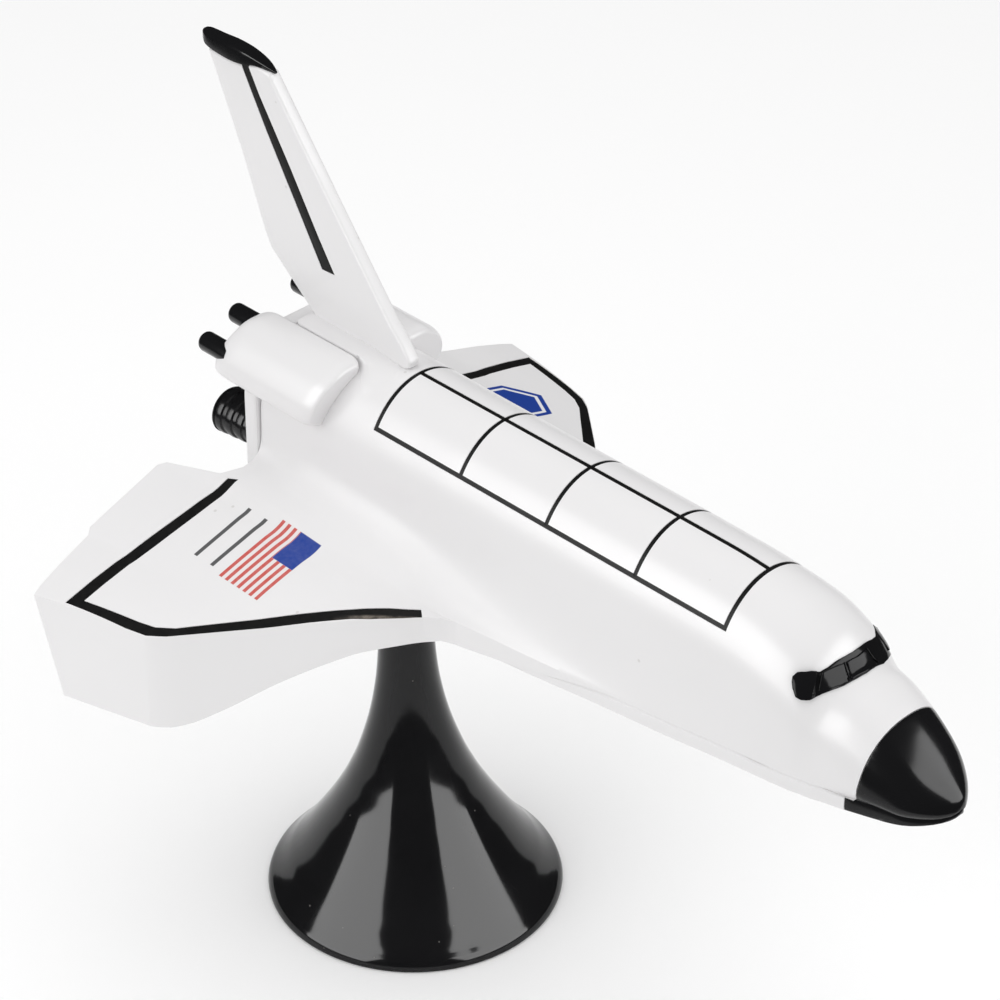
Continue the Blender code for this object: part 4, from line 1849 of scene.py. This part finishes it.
@dataclass
class Stand:
    """The flared one-piece stand, hollow underneath."""

    outer: tuple[Flat, ...] = (
        (28.7, 3.0), (27.8, 4.0), (26.6, 5.5), (25.5, 7.0), (24.0, 9.0), (22.6, 11.0),
        (20.95, 13.5), (19.35, 16.0), (17.5, 19.0), (15.8, 22.0), (14.2, 25.0), (12.8, 28.0),
        (11.5, 31.0), (10.4, 34.0), (9.1, 38.0), (8.0, 42.0), (6.95, 47.0), (6.2, 52.0),
        (5.7, 58.0), (5.35, 66.0), (5.2, 76.0), (5.2, 85.7),
    )
    rim: tuple[Flat, ...] = (
        (29.25, 2.45), (29.7, 1.95), (30.0, 1.35), (30.2, 0.7), (30.15, 0.25), (29.8, 0.0),
    )
    inner: tuple[Flat, ...] = (
        (27.8, 0.0), (27.6, 1.6), (25.3, 3.4), (22.4, 6.2), (19.6, 9.2), (17.0, 12.6), (14.8, 16.0),
        (12.8, 20.0), (11.0, 24.4), (9.2, 29.0), (7.4, 34.0), (5.6, 39.0), (3.4, 43.0), (0.4, 44.6),
    )
    top_radius: float = 4.6
    neck_aft: float = 1.6
    neck_z: Flat = (8.0, 64.0)
    rows: int = 90
    crowding: float = 1.35
    steps: int = 128

    def circle(self, radius: float, z: float) -> list[Point]:
        """One level ring of the stand, as far aft as the neck is there.

        Args:
            radius: its radius.
            z: its height.

        Returns:
            The ring.
        """
        turns = [a * math.tau / self.steps for a in range(self.steps)]
        aft = -self.neck_aft * ramp(z, *self.neck_z)
        return [(radius * math.cos(a) + aft, radius * math.sin(a), z) for a in turns]

    def build(self) -> Piece:
        """Make the stand from the top of its neck down and up inside.

        Returns:
            The stand.
        """
        line = Curve([z for _, z in self.outer], [r for r, _ in self.outer])
        low, high = self.outer[0][1], self.outer[-1][1]
        shares = [(k / self.rows) ** self.crowding for k in range(self.rows + 1)]
        heights = [low + (high - low) * share for share in shares]
        rings = [self.circle(self.top_radius, high)]
        rings += [self.circle(line.at(z), z) for z in reversed(heights)]
        rings += [self.circle(r, z) for r, z in (*self.rim, *self.inner)]
        stand = Bench.skin("stand_body", rings)
        Bench.smooth(stand)
        return stand


class Lit(Enum):
    """What a soft box does."""

    GLOSS = "shows in gloss"
    SHADE = "lights matt surfaces"


@dataclass(frozen=True)
class SoftBox:
    """A soft light hung round the toy, placed by how the toy sees it."""

    name: str
    turn: float
    rise: float
    size: Flat
    glow: float
    far: float = 0.62
    lit: Lit = Lit.SHADE

    def hang(self, middle: Point) -> None:
        """Hang the light.

        Args:
            middle: the point that it faces, in metres.
        """
        light = bpy.data.lights.new(self.name, "AREA")
        light.shape = "RECTANGLE"
        light.size, light.size_y = self.size
        light.energy = self.glow * math.pi * self.size[0] * self.size[1]
        obj = bpy.data.objects.new(self.name, light)
        bpy.context.scene.collection.objects.link(obj)
        turn, rise = math.radians(self.turn), math.radians(self.rise)
        way = Vector((math.cos(turn) * math.cos(rise), math.sin(turn) * math.cos(rise), math.sin(rise)))
        obj.location = Vector(middle) + way * self.far
        obj.rotation_euler = way.to_track_quat("Z", "Y").to_euler()
        obj.visible_glossy = self.lit is Lit.GLOSS
        obj.visible_diffuse = self.lit is Lit.SHADE


@dataclass
class Studio:
    """Floor, lights and the camera at the photograph's angle."""

    target: Point = (0.02467, 0.0, 0.10549)
    back: Point = (0.58811, -0.57883, 0.56486)
    distance: float = 0.72756
    lens: float = 140.575
    sensor: float = 36.0
    middle: Point = (0.02, 0.0, 0.04)
    air: float = 0.74
    air_in_gloss: float = 0.02
    floor_radius: float = 0.4
    floor_middle: Point = (-0.15, 0.15, 0.0)
    paper: tuple[Colour, Colour] = (tint(0.98, 0.98, 0.98), tint(0.99, 0.99, 0.99))
    paper_size: float = 60.0
    boxes: tuple[SoftBox, ...] = (
        SoftBox("sheet_left", -103.0, 24.0, (0.56, 0.46), 7.6, lit=Lit.GLOSS),
        SoftBox("sheet_right", 16.0, 24.0, (0.62, 0.46), 7.6, lit=Lit.GLOSS),
        SoftBox("glow_left", -103.0, 30.0, (0.56, 0.46), 1.12),
        SoftBox("glow_right", 16.0, 30.0, (0.62, 0.46), 0.62),
        SoftBox("glow_overhead", 135.0, 80.0, (0.9, 0.9), 0.74, 0.9),
    )

    def floor(self) -> None:
        """Lay the pale floor."""
        Bench.clear()
        bpy.ops.mesh.primitive_circle_add(vertices=96, radius=self.floor_radius, fill_type="NGON")
        floor = Bench.named("floor")
        for vert in floor.data.vertices:
            vert.co += Vector(self.floor_middle)
        board = Board("floor_paper")
        board.feed("Base Color", board.blend(board.noise(self.paper_size), *self.paper))
        board.feed("Roughness", 0.9)
        board.feed("Specular IOR Level", 0.1)
        floor.data.materials.append(board.material)

    def fill_air(self) -> None:
        """Light the air evenly, but keep it dim in reflections."""
        world = bpy.data.worlds.new("studio_air")
        bpy.context.scene.world = world
        world.use_nodes = True
        tree = world.node_tree
        ground = tree.nodes["Background"]
        ground.inputs["Color"].default_value = tint(1.0, 1.0, 1.0)
        path = tree.nodes.new("ShaderNodeLightPath")
        share = tree.nodes.new("ShaderNodeMath")
        share.operation = "MULTIPLY_ADD"
        tree.links.new(path.outputs["Is Glossy Ray"], share.inputs[0])
        share.inputs[1].default_value = self.air_in_gloss - self.air
        share.inputs[2].default_value = self.air
        tree.links.new(share.outputs[0], ground.inputs["Strength"])

    def set_up(self) -> None:
        """Build the studio."""
        self.floor()
        self.fill_air()
        for box in self.boxes:
            box.hang(self.middle)
        bpy.context.scene.view_settings.view_transform = "Standard"
        camera = bpy.data.cameras.new("camera")
        camera.lens = self.lens
        camera.sensor_width = self.sensor
        camera.sensor_fit = "AUTO"
        obj = bpy.data.objects.new("camera", camera)
        bpy.context.scene.collection.objects.link(obj)
        back = Vector(self.back).normalized()
        obj.location = Vector(self.target) + back * self.distance
        obj.rotation_euler = back.to_track_quat("Z", "Y").to_euler()
        bpy.context.scene.camera = obj


def dress_hull() -> None:
    """Build and place the shell, its grooves, the belly, the nose and the windows."""
    body = BodyForm()
    shell = Shell(body, WingForm())
    hull = shell.build_hull()
    skin = Skin(hull)
    windows = WindowBand(skin).build()
    paints = Grooves(hull, skin).build()
    Bench.smooth(hull, 32.0)
    Bench.ready(hull, MarkedPlastic("shell_white").make(), "hull_white", "hull")
    line_paint = LinePaint("line_paint").make()
    stripe_paint = LinePaint("stripe_paint", worn=True).make()
    for name, piece in paints.items():
        Bench.ready(piece, stripe_paint if name.startswith("wing") else line_paint, "cap_black")
    belly = shell.build_belly()
    Bench.smooth(belly, 32.0)
    Bench.ready(belly, WhitePlastic("belly_white").make(), "belly_white", "belly_plate")
    nose, lip = shell.build_nose()
    nose_paint = BlackGloss("nose_gloss", gloss=0.13, shine=0.26).make()
    for piece in (nose, lip):
        Bench.smooth(piece, 32.0)
        Bench.ready(piece, nose_paint, "nose_black", "nose_cap")
    glass = BlackGloss("window_gloss", gloss=0.08, shine=0.15).make()
    Bench.ready(windows[0], glass, "window_black", "window_band")
    for piece in windows[1:]:
        Bench.ready(piece, glass, "window_black")


def ready_pair(piece: Piece, finish: bpy.types.Material, slots: tuple[str, str], node: str) -> None:
    """Give a starboard piece its port twin, and both their material and place.

    Args:
        piece: the starboard piece.
        finish: the material of both.
        slots: the record's slots for the starboard and the port piece.
        node: the name of their CAD nodes, without the side.
    """
    twin = Bench.mirrored(piece, piece.name.replace(Side.RIGHT.tag, Side.LEFT.tag))
    for obj, side, slot in zip((piece, twin), Side, slots):
        Bench.ready(obj, finish, slot, f"{node}_{side.tag}")


def dress_tail() -> None:
    """Build and place the fin, its pad, the pods and their pegs."""
    tail = Tail().build()
    Bench.ready(tail["fin_blade"], WhitePlastic("fin_white").make(), "fin_white", "fin")
    Bench.ready(tail["fin_tip"], BlackGloss("tip_gloss").make(), "cap_black", "fin_cap")
    line = LinePaint("fin_line_paint").make()
    for side in Side:
        Bench.ready(tail[f"fin_stripe_{side.tag}"], line, "cap_black")
    body = BodyForm()
    pod, (inner, outer) = Pod(body).build()
    ready_pair(pod, WhitePlastic("pod_white").make(), ("pod_white_r", "pod_white_l"), "oms_pod")
    Bench.ready(Pad(body).build(), WhitePlastic("pad_white").make(), "pad_white", "deck_pad")
    black = BlackGloss("peg_gloss", gloss=0.16).make()
    ready_pair(inner, black, ("peg_black_1", "peg_black_3"), "peg_inner")
    ready_pair(outer, black, ("peg_black_2", "peg_black_4"), "peg_outer")


def dress_engines() -> None:
    """Build and place the three bells, and give the aft plate its finish."""
    black = BlackGloss("bell_gloss", gloss=0.16).make()
    for bell, slot, node in (
        (Bell("bell_right", -7.0, 97.2, -30.25, -44.0, 3.2, 4.85), "bell_black_r", "engine_bell_right"),
        (Bell("bell_left", 7.0, 97.2, -30.25, -44.0, 3.2, 4.85), "bell_black_l", "engine_bell_left"),
        (Bell("bell_top", 0.0, 108.6, -30.25, -41.0, 3.0, 4.6), "bell_black_t", "engine_bell_top"),
    ):
        Bench.ready(bell.build(), black, slot, node)
    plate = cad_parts["aft_bulkhead"]
    plate.data.materials.clear()
    plate.data.materials.append(WhitePlastic("plate_white").make())


def main() -> None:
    """Build the toy on its stand."""
    logging.basicConfig(level=logging.INFO, format="%(name)s: %(message)s")
    Studio().set_up()
    dress_hull()
    dress_tail()
    dress_engines()
    dusty = BlackGloss("stand_gloss", gloss=0.07, dust=0.6, ripple=0.006, ripple_size=9.0).make()
    Bench.ready(Stand().build(), dusty, "stand_black", "stand")
    Bench.clear()


if __name__ == "__main__":
    main()
